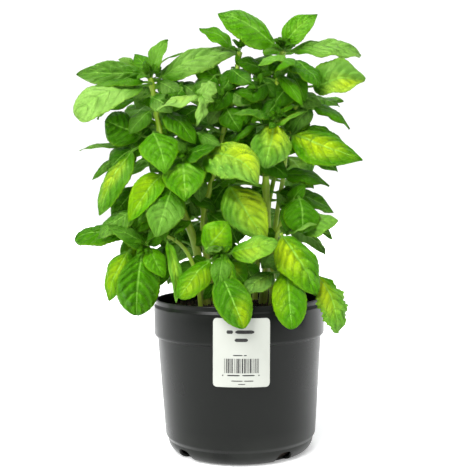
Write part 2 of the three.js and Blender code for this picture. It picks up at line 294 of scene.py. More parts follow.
# %% [markdown]
# ## Shared shader effects
#
# Plastic, paper, stems, soil and leaves all need two effects: a slow drift of colour, and a fine grain.
# Each is one node group, built once and placed in every material with its own values.

# %% Drift and grain groups
drift, given, made = shader_group(
    "colour drift",
    [
        ("Colour", COLOUR, (1, 1, 1, 1)), ("Other", COLOUR, (0, 0, 0, 1)), ("Scale", FLOAT, 20.0),
        ("Amount", FLOAT, 0.3),
    ],
    [("Colour", COLOUR), ("Mask", FLOAT)],
)
cloud = add_node(drift, "ShaderNodeTexNoise", Vector=object_place(drift), Scale=given["Scale"], Detail=4.0)
mask = ramp(drift, cloud.outputs[0], 0.35, 0.7)
drifted = mix_colour(drift, times(drift, mask, given["Amount"]), given["Colour"], given["Other"])
feed(drift, made, Colour=drifted, Mask=mask)

grain, given, made = shader_group(
    "fine grain",
    [("Scale", FLOAT, 900.0), ("Strength", FLOAT, 0.2), ("Depth", FLOAT, 0.0002)],
    [("Normal", "NodeSocketVector")],
)
speckle = add_node(grain, "ShaderNodeTexNoise", Vector=object_place(grain), Scale=given["Scale"], Detail=3.0)
relief = add_node(
    grain, "ShaderNodeBump", Strength=given["Strength"], Distance=given["Depth"], Height=speckle.outputs[0],
)
feed(grain, made, Normal=relief.outputs[0])
print("groups:", drift.name, "and", grain.name)

# %% [markdown]
# ## Pot
#
# The pot is injection-moulded: a thin tapering shell with a collar, a rolled lip, a round foot ring, and
# four arched drain notches that are cut through the bottom corner. A turned profile gives the shell, with
# small rounds where the mould has them, because those rounds catch the thin lines of light. The notches
# are a Boolean cut, as the notch cores of the mould would be.

# %% Turning helpers


def finish_piece(name, mesh, material, slot, *stands_for, smooth_degrees=None):
    """Links a finished mesh as a piece that rides on the plant's only body."""
    piece = bpy.data.objects.new(name, mesh)
    bpy.context.scene.collection.objects.link(piece)
    mesh.materials.clear()
    mesh.materials.append(material)
    mesh.shade_smooth()
    if smooth_degrees:
        mesh.set_sharp_from_angle(angle=math.radians(smooth_degrees))
    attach(piece, "root")
    if stands_for:
        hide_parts(*stands_for)
    return piece


def rounded(profile, radii, steps=5):
    """A profile of (radius, height) points with each corner in radii turned into a small arc."""
    points = []
    for i, corner in enumerate(profile):
        size = radii.get(i, 0)
        if not size:
            points.append(corner)
            continue
        here = Vector(corner)
        before = here + (Vector(profile[i - 1]) - here).normalized() * size
        after = here + (Vector(profile[(i + 1) % len(profile)]) - here).normalized() * size
        for k in range(steps + 1):
            t = k / steps
            points.append(tuple(before.lerp(here, t).lerp(here.lerp(after, t), t)))
    return points


def turned_mesh(name, profile, segments):
    """A closed solid from a profile of (radius, height) points that starts and ends on the axis."""
    ring_points = profile[1:-1]
    verts = [(0, 0, profile[0][1]), (0, 0, profile[-1][1])]
    for r, z in ring_points:
        for k in range(segments):
            angle = 2 * math.pi * k / segments
            verts.append((r * math.cos(angle), r * math.sin(angle), z))
    count = len(ring_points)
    corner = lambda i, k: 2 + i * segments + k % segments
    faces = [(0, corner(0, k + 1), corner(0, k)) for k in range(segments)]
    for i in range(count - 1):
        for k in range(segments):
            faces.append((corner(i, k), corner(i, k + 1), corner(i + 1, k + 1), corner(i + 1, k)))
    faces += [(1, corner(count - 1, k), corner(count - 1, k + 1)) for k in range(segments)]
    mesh = bpy.data.meshes.new(name)
    mesh.from_pydata(verts, [], faces)
    mesh.validate()
    return mesh


print("turning ready")

# %% Pot shell
pot_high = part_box("pot")[1]
RIM = pot_high.x
HEIGHT = pot_high.z
WALL = 1.8 * MM
LIP = 1.6 * MM
STEP_Z = 109 * MM
STEP = 3 * MM
LIP_Z = HEIGHT - 5 * MM
BODY_LOW = 70.8 * MM
BODY_HIGH = RIM - STEP
BASE_Z = 13 * MM
BASE = 68.4 * MM
FLOOR = 57 * MM
POT_SEGMENTS = 192

outside = [
    (0, 0), (FLOOR, 0), (FLOOR + 7 * MM, 2.2 * MM), (BASE, BASE_Z - 4 * MM), (BASE, BASE_Z),
    (BODY_LOW, BASE_Z + 3.5 * MM), (BODY_HIGH, STEP_Z), (RIM - 0.5 * MM, STEP_Z + 1.5 * MM),
    (RIM, STEP_Z + 3 * MM), (RIM, LIP_Z - 1.5 * MM), (RIM - LIP, LIP_Z + 0.6 * MM),
    (RIM - LIP, HEIGHT),
]
inside = [
    (RIM - LIP - WALL, HEIGHT), (RIM - LIP - WALL, LIP_Z), (RIM - WALL, LIP_Z - 4 * MM),
    (RIM - WALL, STEP_Z + 3.5 * MM), (BODY_HIGH - WALL, STEP_Z), (BODY_LOW - WALL, BASE_Z + 5 * MM),
    (BASE - WALL, BASE_Z + 1 * MM), (BASE - WALL, BASE_Z - 4 * MM), (FLOOR + 5 * MM, 4 * MM),
    (FLOOR - 1 * MM, WALL), (0, WALL),
]
rounds = {
    1: 2 * MM, 2: 4 * MM, 3: 3.2 * MM, 4: 0.6 * MM, 5: 1.2 * MM, 6: 0.5 * MM, 7: 0.6 * MM, 8: 0.8 * MM,
    9: 0.8 * MM, 10: 0.6 * MM, 11: 0.8 * MM, 12: 0.7 * MM,
}
pot_mesh = turned_mesh("pot_shell", rounded(outside + inside, rounds), POT_SEGMENTS)
print(f"pot shell: {len(pot_mesh.polygons)} faces, {2 * RIM / MM:.0f} mm across")

# %% Drain notches
NOTCH_DEGREES = [36, 125, 220, 310]
NOTCH_WIDTH = 17 * MM
NOTCH_HEIGHT = 10.5 * MM
NOTCH_REACH = 24 * MM


def notch_core(degrees):
    """An arch-topped bar through the bottom corner, at an angle from the front."""
    steps = 14
    half = NOTCH_WIDTH / 2
    arch = []
    for k in range(steps + 1):
        angle = math.pi * k / steps
        across = math.cos(angle)
        arch.append((half * math.copysign(abs(across) ** 0.6, across), NOTCH_HEIGHT * math.sin(angle) ** 0.6))
    outline = [(half, -2 * MM), *arch, (-half, -2 * MM)]
    turn = Matrix.Rotation(math.radians(degrees), 4, "Z")
    bm = bmesh.new()
    near = [bm.verts.new(turn @ Vector((x, -(FLOOR - 2 * MM), z))) for x, z in outline]
    far = [bm.verts.new(turn @ Vector((x, -(FLOOR - 2 * MM + NOTCH_REACH), z))) for x, z in outline]
    bm.faces.new(near)
    bm.faces.new(far)
    for i in range(len(outline)):
        j = (i + 1) % len(outline)
        bm.faces.new((near[i], near[j], far[j], far[i]))
    bmesh.ops.recalc_face_normals(bm, faces=bm.faces)
    return bm


def cut_away(mesh, cutters):
    """The mesh with every cutter taken away."""
    target = bpy.data.objects.new("target", mesh)
    bpy.context.scene.collection.objects.link(target)
    tools = []
    for bm in cutters:
        tool_mesh = bpy.data.meshes.new("cutter")
        bm.to_mesh(tool_mesh)
        bm.free()
        tool = bpy.data.objects.new("cutter", tool_mesh)
        bpy.context.scene.collection.objects.link(tool)
        cut = target.modifiers.new("cut", "BOOLEAN")
        cut.object = tool
        cut.operation = "DIFFERENCE"
        cut.solver = "EXACT"
        tools.append(tool)
    result = bpy.data.meshes.new_from_object(target.evaluated_get(bpy.context.evaluated_depsgraph_get()))
    for used in [target, *tools]:
        bpy.data.objects.remove(used)
    return result


pot_cut = cut_away(pot_mesh, [notch_core(degrees) for degrees in NOTCH_DEGREES])
print(f"{len(NOTCH_DEGREES)} notches cut, {len(pot_cut.polygons)} faces")

# %% [markdown]
# The plastic is charcoal grey with recycled pigment, so it is a little uneven, and it has a satin mould
# texture. It turns a little paler on the lip and near the foot. Colour drift makes the first, fine grain
# the second, and a mask by height the third.

# %% Pot plastic
FOOT_PALER_TOP = 0.03
LIP_PALER_FROM = 0.13

pot_plastic, tree, shader, _ = new_material("charcoal plastic")
base = use_group(
    tree, drift, Colour=(0.0020, 0.0028, 0.0019, 1), Other=(0.0042, 0.0054, 0.004, 1), Scale=18.0,
    Amount=0.8,
)
height = split(tree, object_place(tree))["Z"]
near_foot = ramp(tree, height, FOOT_PALER_TOP, 0.0)
near_lip = ramp(tree, height, LIP_PALER_FROM, HEIGHT)
# A little paler near the foot and on the lip, in patches, by height.
paler_share = times(tree, times(tree, math_node(tree, "MAXIMUM", near_foot, near_lip), base["Mask"]), 0.3)
texture = use_group(tree, grain, Scale=1400.0, Strength=0.25, Depth=0.0001)
feed(
    tree, shader, Base_Color=mix_colour(tree, paler_share, base["Colour"], (0.07, 0.075, 0.065, 1)),
    Roughness=ramp(tree, base["Mask"], 0.0, 1.0, 0.26, 0.38), Specular_IOR_Level=0.22, Normal=texture[0],
)
finish_piece("nursery_pot", pot_cut, pot_plastic, "pot_plastic", "pot", smooth_degrees=32)
print("pot stands for its frame solid")

# %% [markdown]
# ## Soil
#
# Potting mix is not a smooth disc. It is a mound of peat crumbs and bark chips, with a few pale grains
# of perlite. The mound is one turned solid whose top is pushed up and down by noise. The crumbs and the
# pale grains are scattered over it with Geometry Nodes, which suits things that repeat over a surface.

# %% Geometry Nodes helpers


def geometry_tree(name, inputs):
    """A Geometry Nodes tree with a Geometry input and output and other named inputs."""
    tree = bpy.data.node_groups.new(name, "GeometryNodeTree")
    tree.interface.new_socket("Geometry", in_out="INPUT", socket_type="NodeSocketGeometry")
    for label, kind in inputs:
        tree.interface.new_socket(label, in_out="INPUT", socket_type=kind)
    tree.interface.new_socket("Geometry", in_out="OUTPUT", socket_type="NodeSocketGeometry")
    return tree, tree.nodes.new("NodeGroupInput").outputs, tree.nodes.new("NodeGroupOutput").inputs


def grown(name, data, tree, **values):
    """Runs a tree over a mesh or curve with the given inputs, and returns the result as a plain mesh."""
    holder = bpy.data.objects.new(name, data)
    bpy.context.scene.collection.objects.link(holder)
    modifier = holder.modifiers.new(name, "NODES")
    modifier.node_group = tree
    for item in tree.interface.items_tree:
        key = item.name.replace(" ", "_")
        if item.in_out == "INPUT" and key in values:
            modifier[item.identifier] = values[key]
    bpy.context.view_layer.update()
    result = bpy.data.meshes.new_from_object(holder.evaluated_get(bpy.context.evaluated_depsgraph_get()))
    bpy.data.objects.remove(holder)
    result.name = name
    return result


OBJECT = "NodeSocketObject"
MATERIAL = "NodeSocketMaterial"
print("geometry helpers ready")

# %% Soil mound
soil_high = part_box("soil")[1]
SOIL_GAP = 0.25 * MM
SOIL_TOP = soil_high.z - 1.5 * MM
SOIL_EDGE = SOIL_TOP - 3 * MM
SOIL_RADIUS = RIM - WALL - SOIL_GAP
SOIL_RINGS = 34

soil_profile = [
    (0, WALL + SOIL_GAP), (FLOOR - 2 * MM, WALL + SOIL_GAP), (BASE - WALL - 1 * MM, BASE_Z),
    (BODY_LOW - WALL - 0.4 * MM, BASE_Z + 6 * MM), (BODY_HIGH - WALL - 0.4 * MM, STEP_Z - 2 * MM),
    (SOIL_RADIUS, STEP_Z + 6 * MM), (SOIL_RADIUS, SOIL_EDGE),
]
for k in range(1, SOIL_RINGS):
    share = k / SOIL_RINGS
    soil_profile.append(
        (SOIL_RADIUS * (1 - share), SOIL_EDGE + (SOIL_TOP - SOIL_EDGE) * math.sin(share * math.pi / 2))
    )
soil_profile.append((0, SOIL_TOP))
soil_mesh = turned_mesh("potting_mix", soil_profile, 110)

for vertex in soil_mesh.vertices:
    if vertex.co.z > SOIL_EDGE - 0.5 * MM:
        x, y = vertex.co.x, vertex.co.y
        inward = min(1.0, (SOIL_RADIUS - math.hypot(x, y)) / (4 * MM))
        slow = math.sin(x * 190 + 1.3) * math.cos(y * 160 + 0.4) * 1.0
        fine = math.sin(x * 900 + y * 500) * math.sin(y * 1100 - x * 300) * 0.9
        vertex.co.z += (slow + fine) * MM * inward
print(f"soil top at {SOIL_TOP / MM:.0f} mm")

# %% Crumb tree
crumb_tree, given, made = geometry_tree(
    "soil crumbs",
    [("Crumb", OBJECT), ("Density", FLOAT), ("Smallest", FLOAT), ("Largest", FLOAT), ("Top", FLOAT),
     ("Reach", FLOAT), ("Finish", MATERIAL), ("Seed", "NodeSocketInt")],
)
position = crumb_tree.nodes.new("GeometryNodeInputPosition").outputs[0]
flat_place = add_node(
    crumb_tree, "ShaderNodeVectorMath", {"operation": "MULTIPLY"}, i0=position, i1=(1.0, 1.0, 0.0),
)
off_axis = add_node(
    crumb_tree, "ShaderNodeVectorMath", {"operation": "LENGTH"}, i0=flat_place.outputs[0],
).outputs["Value"]
is_high = math_node(crumb_tree, "GREATER_THAN", split(crumb_tree, position)["Z"], given["Top"])
is_inside = math_node(crumb_tree, "LESS_THAN", off_axis, given["Reach"])
points = add_node(
    crumb_tree, "GeometryNodeDistributePointsOnFaces",
    Mesh=given["Geometry"], Selection=times(crumb_tree, is_high, is_inside), Density=given["Density"],
    Seed=given["Seed"],
)
size = add_node(
    crumb_tree, "FunctionNodeRandomValue", {"data_type": "FLOAT"},
    i2=given["Smallest"], i3=given["Largest"], Seed=given["Seed"],
)
turn = add_node(
    crumb_tree, "FunctionNodeRandomValue", {"data_type": "FLOAT_VECTOR"},
    i1=(math.tau, math.tau, math.tau), Seed=given["Seed"],
)
crumb = add_node(crumb_tree, "GeometryNodeObjectInfo", Object=given["Crumb"])
scattered = add_node(
    crumb_tree, "GeometryNodeInstanceOnPoints",
    Points=points.outputs[0], Instance=crumb.outputs["Geometry"], Rotation=turn.outputs[0],
    Scale=size.outputs[1],
)
real = add_node(crumb_tree, "GeometryNodeRealizeInstances", Geometry=scattered.outputs[0])
painted = add_node(crumb_tree, "GeometryNodeSetMaterial", Geometry=real.outputs[0], Material=given["Finish"])
crumb_tree.links.new(painted.outputs[0], made["Geometry"])
print("crumb tree has", len(crumb_tree.nodes), "nodes")

# %% Crumb shapes


def pebble(name, stretch, roughness, seed):
    """A lumpy grain about 1 m across, to be scaled down where it is scattered."""
    bm = bmesh.new()
    bmesh.ops.create_icosphere(bm, subdivisions=1, radius=0.5)
    chance = random.Random(seed)
    for vertex in bm.verts:
        vertex.co *= 1 + chance.uniform(-roughness, roughness)
        vertex.co.x *= stretch[0]
        vertex.co.y *= stretch[1]
        vertex.co.z *= stretch[2]
    mesh = bpy.data.meshes.new(name)
    bm.to_mesh(mesh)
    bm.free()
    grain_object = bpy.data.objects.new(name, mesh)
    bpy.context.scene.collection.objects.link(grain_object)
    return grain_object


chip = pebble("bark_chip", (1.9, 0.8, 0.45), 0.3, 3)
grain_of_perlite = pebble("perlite_grain", (1.1, 1.0, 0.8), 0.15, 5)
crumb_shape = pebble("peat_crumb", (1.2, 1.0, 0.9), 0.3, 8)
print("three grains")

# %% Soil finishes


def soil_finish(name, dark, light, roughness, depth):
    """A dull, broken-up finish for one sort of grain."""
    material, tree, shader, _ = new_material(name)
    colour = use_group(tree, drift, Colour=dark, Other=light, Scale=260.0, Amount=1.0)["Colour"]
    texture = use_group(tree, grain, Scale=1800.0, Strength=0.8, Depth=depth)[0]
    feed(tree, shader, Base_Color=colour, Normal=texture, Roughness=roughness, Specular_IOR_Level=0.25)
    return material


peat = soil_finish("damp peat", (0.010, 0.007, 0.005, 1), (0.035, 0.022, 0.014, 1), 0.85, 0.0008)
bark = soil_finish("bark", (0.03, 0.017, 0.01, 1), (0.11, 0.065, 0.04, 1), 0.8, 0.0004)
perlite = soil_finish("perlite", (0.55, 0.53, 0.48, 1), (0.3, 0.27, 0.22, 1), 0.9, 0.0003)

# %% Scatter the grains
CRUMB_LEVEL = SOIL_EDGE - 1 * MM
# Each row: name, shape, finish, number on a square metre, smallest, largest, distance to the wall, seed.
SCATTERED = [
    ("peat_crumbs", crumb_shape, peat, 170000.0, 1.4, 4.0, 2.5, 4),
    ("bark_chips", chip, bark, 26000.0, 2.2, 5.0, 5, 11),
    ("perlite_grains", grain_of_perlite, perlite, 6500.0, 1.0, 2.4, 2, 23),
]
scattered = {}
for name, shape, finish, density, smallest, largest, from_wall, seed in SCATTERED:
    scattered[name] = grown(
        name, soil_mesh.copy(), crumb_tree,
        Crumb=shape, Density=density, Smallest=smallest * MM, Largest=largest * MM, Top=CRUMB_LEVEL,
        Reach=SOIL_RADIUS - from_wall * MM, Finish=finish, Seed=seed,
    )
finish_piece("soil_mound", soil_mesh, peat, "potting_mix", "soil")
for name, shape, finish, *_ in SCATTERED:
    bpy.data.objects.remove(shape)
    finish_piece(name, scattered[name], finish, "potting_mix")
print({name: len(mesh.polygons) for name, mesh in scattered.items()}, "faces")

# %% [markdown]
# ## Label
#
# The label is a stiff card, bent to the collar and hanging straight below it. It is lofted across in
# narrow strips, so that it bends only round the pot's axis. Its print is made of plain bars: two short
# heavy rows, a fine row, a block of upright stripes and fine rows below. They carry no words or numbers.
# Each bar is a very thin raised solid that follows the card, which keeps its edges crisp.

# %% Label card
label_low, label_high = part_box("label")
CARD_THICK = 0.6 * MM
CARD_CORNER = 3.5 * MM
CARD_RADIUS = RIM + 0.3 * MM + CARD_THICK
CARD_CENTRE = (label_low.x + label_high.x) / 2
CARD_HALF = CARD_RADIUS * math.asin((label_high.x - label_low.x) / 2 / CARD_RADIUS)
CARD_TILT = math.radians(-1.0)
CARD_Z = (label_low.z + label_high.z) / 2
CARD_HALF_TALL = (label_high.z - label_low.z) / 2 - 0.4 * MM


def on_card(across, up, depth):
    """The place of a card point: across and up from the card's middle, and depth behind its face."""
    x = across * math.cos(CARD_TILT) - up * math.sin(CARD_TILT)
    z = across * math.sin(CARD_TILT) + up * math.cos(CARD_TILT)
    angle = x / CARD_RADIUS + math.asin(CARD_CENTRE / CARD_RADIUS)
    radius = CARD_RADIUS - depth
    return Vector((radius * math.sin(angle), -radius * math.cos(angle), CARD_Z + z))


def card_strip(bm, left, right, bottom, top, front, back, corner=0.0, columns=2):
    """Adds a thin solid to bm that follows the card between two depths, with optional round corners."""
    rings = []
    for i in range(columns + 1):
        across = left + (right - left) * i / columns
        inset = max(0.0, corner - (across - left), corner - (right - across))
        cut = corner - math.sqrt(max(0.0, corner ** 2 - inset ** 2))
        low, high = bottom + cut, top - cut
        corners_here = [(low, back), (low, front), (high, front), (high, back)]
        rings.append([bm.verts.new(on_card(across, up, depth)) for up, depth in corners_here])
    for a, b in zip(rings, rings[1:]):
        for k in range(4):
            n = (k + 1) % 4
            bm.faces.new((a[k], a[n], b[n], b[k]))
    bm.faces.new(rings[0][::-1])
    bm.faces.new(rings[-1])


card_bm = bmesh.new()
card_strip(
    card_bm, -CARD_HALF, CARD_HALF, -CARD_HALF_TALL, CARD_HALF_TALL, 0.0, CARD_THICK, CARD_CORNER, columns=96,
)
bmesh.ops.recalc_face_normals(card_bm, faces=card_bm.faces)
card_mesh = bpy.data.meshes.new("care_label")
card_bm.to_mesh(card_mesh)
card_bm.free()
print(f"card {2 * CARD_HALF / MM:.0f} x {2 * CARD_HALF_TALL / MM:.0f} mm")

# %% Label print
INK = 0.05 * MM
ROWS = [  # each row: height of its middle, its thickness, and its bars as (start, end), all in mm
    (18.0, 3.0, [(-13.0, -7.5), (-5.5, 11.0)]),
    (11.0, 3.0, [(-6.0, 5.5)]),
    (-2.2, 0.9, [(-7.5, 1.0), (2.0, 4.5)]),
    (-19.6, 1.1, [(-16.8, -15.6), (-12.4, -1.4), (0.6, 11.6), (14.6, 15.8)]),
    (-24.4, 0.8, [(-9.0, 1.2), (2.2, 10.6)]),
    (-27.2, 0.7, [(-3.0, 3.4)]),
]
STRIPE_LEFT, STRIPE_RIGHT = -15.0 * MM, 15.0 * MM
STRIPE_LOW, STRIPE_HIGH = -17.6 * MM, -5.0 * MM

ink_bm = bmesh.new()
for middle, thickness, bars in ROWS:
    for start, end in bars:
        low = (middle - thickness / 2) * MM
        high = (middle + thickness / 2) * MM
        card_strip(
            ink_bm, start * MM, end * MM, low, high, -INK, 0.02 * MM, corner=thickness * 0.3 * MM,
            columns=8,
        )
stripes = random.Random(6)
at = STRIPE_LEFT
while at < STRIPE_RIGHT:
    wide = stripes.choice([0.4, 0.4, 0.8, 1.2]) * MM
    card_strip(ink_bm, at, min(at + wide, STRIPE_RIGHT), STRIPE_LOW, STRIPE_HIGH, -INK, 0.02 * MM)
    at += wide + stripes.choice([0.4, 0.4, 0.8, 1.1]) * MM
bmesh.ops.recalc_face_normals(ink_bm, faces=ink_bm.faces)
ink_mesh = bpy.data.meshes.new("label_print")
ink_bm.to_mesh(ink_mesh)
ink_bm.free()
print(f"print has {len(ink_mesh.polygons)} faces")

# %% Label finishes
card, tree, shader, _ = new_material("card")
paper = use_group(
    tree, drift, Colour=(0.455, 0.47, 0.425, 1), Other=(0.42, 0.435, 0.39, 1), Scale=60.0, Amount=0.6,
)
fibre = use_group(tree, grain, Scale=2500.0, Strength=0.15, Depth=0.00005)
feed(tree, shader, Base_Color=paper["Colour"], Normal=fibre[0], Roughness=0.42)
finish_piece("care_label", card_mesh, card, "label_card", "label", smooth_degrees=30)

ink, tree, shader, _ = new_material("ink")
print_colour = use_group(
    tree, drift, Colour=(0.014, 0.014, 0.013, 1), Other=(0.03, 0.03, 0.028, 1), Scale=300.0, Amount=0.8,
)
feed(tree, shader, Base_Color=print_colour["Colour"], Roughness=0.5)
finish_piece("label_print", ink_mesh, ink, "label_card", smooth_degrees=30)
print("label done")

# %% [markdown]
# ## Stems
#
# A basil stem is square with soft corners. It swells a little at each pair of leaves, is woody and
# brownish near the soil, and is pale green above. Each one follows the middle line of its frame solid.
# Geometry Nodes sweep a squarish section along that line, and leave two named attributes on the result
# for the finish: how far along the stem a point lies, and how far round.

# %% Reading the frame's lofted solids


def merged_copy(node):
    """A frame solid's triangles with their shared corners joined."""
    bm = bmesh.new()
    bm.from_mesh(nodes[node].data)
    bmesh.ops.remove_doubles(bm, verts=bm.verts, dist=1e-6)
    bm.verts.index_update()
    return bm


def rings_from(first):
    """A lofted solid's corners sorted into rings, by how many edges lie between them and its first corner."""
    seen = {first}
    rings = [[first]]
    while rings[-1]:
        following = {edge.other_vert(v) for v in rings[-1] for edge in v.link_edges} - seen
        seen |= following
        rings.append(sorted(following, key=lambda v: v.index))
    return rings[:-1]


def end_points(bm):
    """The two corners at the ends of a lofted solid, the one on the smaller cap first."""
    ends = [v for v in bm.verts if len(v.link_edges) == 8]
    return sorted(ends, key=lambda v: sum(edge.calc_length() for edge in v.link_edges))


def middle_of(ring):
    return sum((v.co for v in ring), Vector()) / len(ring)


STEM_NODES = sorted(name for name in nodes if name.endswith("_stem"))
LEAF_NODES = sorted(name for name in nodes if "_leaf_" in name)


def stem_line(node):
    """The middle line of a stem from the soil up, as points and radii."""
    bm = merged_copy(node)
    ends = sorted(end_points(bm), key=lambda v: v.co.z)
    rings = rings_from(ends[0])[1:-1]
    line = [(middle_of(ring), (ring[0].co - middle_of(ring)).length) for ring in rings]
    bm.free()
    return line


stem_lines = {node[: -len("_stem")]: stem_line(node) for node in STEM_NODES}
print({name: len(line) for name, line in stem_lines.items()})

# %% Leaf frames


def foot(place, a, b):
    """The point of the stretch from a to b that is nearest to a place."""
    along = b - a
    share = max(0.0, min(1.0, (place - a).dot(along) / along.length_squared))
    return a + along * share


def nearest_on_stem(stem, place):
    """The point of a stem's middle line that is nearest to a place."""
    points = [point for point, radius in stem_lines[stem]]
    return min((foot(place, a, b) for a, b in zip(points, points[1:])), key=lambda p: (p - place).length)


class LeafFrame:
    """Where one leaf stands: root, neck (where the blade starts), middle control, tip and width."""

    def __init__(self, root, neck, middle, tip, up, width):
        self.root = Vector(root)
        self.neck = Vector(neck)
        self.middle = Vector(middle)
        self.tip = Vector(tip)
        self.up = Vector(up).normalized()
        self.width = width


MIDDLE_STATION = 0.43
PETIOLE_SHARE = 0.9


def leaf_frame(node):
    """Reads a leaf's frame from its solid, whose sections are known shares of its length."""
    bm = merged_copy(node)
    small_end, tip_end = end_points(bm)
    rings = rings_from(tip_end)
    section = [v.co.copy() for v in rings[3]]
    outer_end = small_end.co.copy()
    tip = tip_end.co.copy()
    neck = outer_end + (middle_of(rings[6]) - outer_end) / PETIOLE_SHARE
    edge_a, edge_b = max(
        ((a, b) for a in section for b in section), key=lambda pair: (pair[0] - pair[1]).length,
    )
    across = (edge_b - edge_a).normalized()
    centre = (edge_a + edge_b) / 2
    spine = [p for p in section if abs((p - centre).dot(across)) < 0.1 * (edge_b - edge_a).length]
    ridge = sum(spine, Vector()) / len(spine)
    t = MIDDLE_STATION
    control = (ridge - neck * (1 - t) ** 2 - tip * t ** 2) / (2 * t * (1 - t))
    bm.free()
    root = nearest_on_stem(node.split("_leaf_")[0], neck)
    return LeafFrame(root, neck, control, tip, ridge - centre, (edge_b - edge_a).length)


leaf_frames = {node: leaf_frame(node) for node in LEAF_NODES}
longest = max(leaf_frames.values(), key=lambda leaf: (leaf.tip - leaf.neck).length)
print(f"{len(leaf_frames)} leaves, longest blade {(longest.tip - longest.neck).length / MM:.0f} mm")

# %% [markdown]
# The sweep itself is a small tree. The line comes to it already resampled, with a radius at each point.
# The tree makes a section whose radius rises and falls four times a turn, scales it by each point's
# radius, and sweeps it with closed ends.

# %% Stem tree
stem_tree, given, made = geometry_tree(
    "square stem", [("Sides", "NodeSocketInt"), ("Squareness", FLOAT), ("Finish", MATERIAL)]
)
along = stem_tree.nodes.new("GeometryNodeSplineParameter").outputs["Factor"]
marked = add_node(
    stem_tree, "GeometryNodeStoreNamedAttribute", {"data_type": "FLOAT", "domain": "POINT"},
    Geometry=given["Geometry"], Name="along", Value=along,
)
section = add_node(
    stem_tree, "GeometryNodeCurvePrimitiveCircle", {"mode": "RADIUS"}, Resolution=given["Sides"],
    Radius=1.0,
)
around = stem_tree.nodes.new("GeometryNodeSplineParameter").outputs["Factor"]
quarter = times(stem_tree, around, 4 * math.tau)
ripple = math_node(stem_tree, "COSINE", quarter)
bulge = times(stem_tree, ripple, given["Squareness"])
factor = math_node(stem_tree, "ADD", bulge, 1.0)
round_place = stem_tree.nodes.new("GeometryNodeInputPosition").outputs[0]
squared = add_node(stem_tree, "ShaderNodeVectorMath", {"operation": "SCALE"}, i0=round_place, Scale=factor)
shaped = add_node(
    stem_tree, "GeometryNodeSetPosition", Geometry=section.outputs[0], Position=squared.outputs[0],
)
marked_section = add_node(
    stem_tree, "GeometryNodeStoreNamedAttribute", {"data_type": "FLOAT", "domain": "POINT"},
    Geometry=shaped.outputs[0], Name="around", Value=around,
)
swept = add_node(
    stem_tree, "GeometryNodeCurveToMesh",
    Curve=marked.outputs[0], Profile_Curve=marked_section.outputs[0], Fill_Caps=True,
)
stem_tree.links.new(stem_tree.nodes.new("GeometryNodeInputRadius").outputs[0], swept.inputs["Scale"])
painted = add_node(stem_tree, "GeometryNodeSetMaterial", Geometry=swept.outputs[0], Material=given["Finish"])
stem_tree.links.new(painted.outputs[0], made["Geometry"])
print("stem tree has", len(stem_tree.nodes), "nodes")

# %% Stem skin finish
stem_skin, tree, shader, _ = new_material("stem skin")
along = attribute(tree, "along")["Fac"]
around = attribute(tree, "around")["Fac"]
skin = use_group(
    tree, drift, Colour=(0.24, 0.42, 0.012, 1), Other=(0.36, 0.52, 0.04, 1), Scale=55.0, Amount=0.7,
)
wood = use_group(
    tree, drift, Colour=(0.23, 0.31, 0.02, 1), Other=(0.16, 0.15, 0.03, 1), Scale=90.0, Amount=0.8,
)
skin_colour = mix_colour(tree, ramp(tree, along, 0.35, 0.05), skin["Colour"], wood["Colour"])
corners = math_node(tree, "COSINE", times(tree, around, 4 * math.tau))
edged = mix_colour(tree, ramp(tree, corners, 0.3, 1.0, 0.0, 0.35), skin_colour, (0.40, 0.50, 0.09, 1))
streak_place = add_node(tree, "ShaderNodeCombineXYZ", X=around, Y=times(tree, along, 0.15))
streaks = add_node(tree, "ShaderNodeTexNoise", Vector=streak_place.outputs[0], Scale=38.0, Detail=2.0)
streak_bump = add_node(tree, "ShaderNodeBump", Height=streaks.outputs[0], Strength=0.4, Distance=0.0004)
feed(
    tree, shader, Base_Color=edged, Normal=streak_bump.outputs[0], Roughness=0.42,
    Subsurface_Weight=0.08, Subsurface_Radius=(0.4, 1.0, 0.2), Subsurface_Scale=0.002,
)
print("stem skin ready")

# %% Sweep the stems
STEM_STEPS = 120
KNEE_REACH = 3.2 * MM
KNEE_SWELL = 0.32
FULLNESS = 1.25


def smooth_line(points, count):
    """Evenly spaced points on a Catmull-Rom curve through the given ones, as an array."""
    p = np.array(points)
    padded = np.vstack([2 * p[0] - p[1], p, 2 * p[-1] - p[-2]])
    dense = []
    for k in range(len(p) - 1):
        a, b, c, d = padded[k: k + 4]
        for t in np.linspace(0, 1, 24, endpoint=False):
            dense.append(
                0.5 * (
                    2 * b + (c - a) * t + (
                        2 * a - 5 * b + 4 * c - d
                    ) * t * t + (3 * b - a - 3 * c + d) * t ** 3
                )
            )
    dense.append(p[-1])
    dense = np.array(dense)
    lengths = np.concatenate([[0], np.cumsum(np.linalg.norm(np.diff(dense[:, :3], axis=0), axis=1))])
    targets = np.linspace(0, lengths[-1], count)
    return np.stack([np.interp(targets, lengths, dense[:, c]) for c in range(dense.shape[1])], axis=1)


def stem_piece(name):
    """The finished stem that stands for a frame solid."""
    line = stem_lines[name]
    path_points = smooth_line([(*p, r) for p, r in line], STEM_STEPS)
    knees = [leaf.root for node, leaf in leaf_frames.items() if node.startswith(name + "_leaf_")]
    curve = bpy.data.curves.new(name, "CURVE")
    curve.dimensions = "3D"
    spline = curve.splines.new("POLY")
    spline.points.add(STEM_STEPS - 1)
    for point, (x, y, z, radius) in zip(spline.points, path_points):
        here = Vector((x, y, z))
        near = min((here - knee).length for knee in knees)
        point.co = (x, y, z, 1)
        point.radius = FULLNESS * radius * (1 + KNEE_SWELL * math.exp(-((near / KNEE_REACH) ** 2)))
    mesh = grown(f"{name}_stem_skin", curve, stem_tree, Sides=24, Squareness=0.07, Finish=stem_skin)
    finish_piece(f"{name}_stem_skin", mesh, stem_skin, "stem_green", f"{name}_stem")
    return mesh


stem_meshes = {name: stem_piece(name) for name in stem_lines}
print({name: len(mesh.polygons) for name, mesh in stem_meshes.items()})

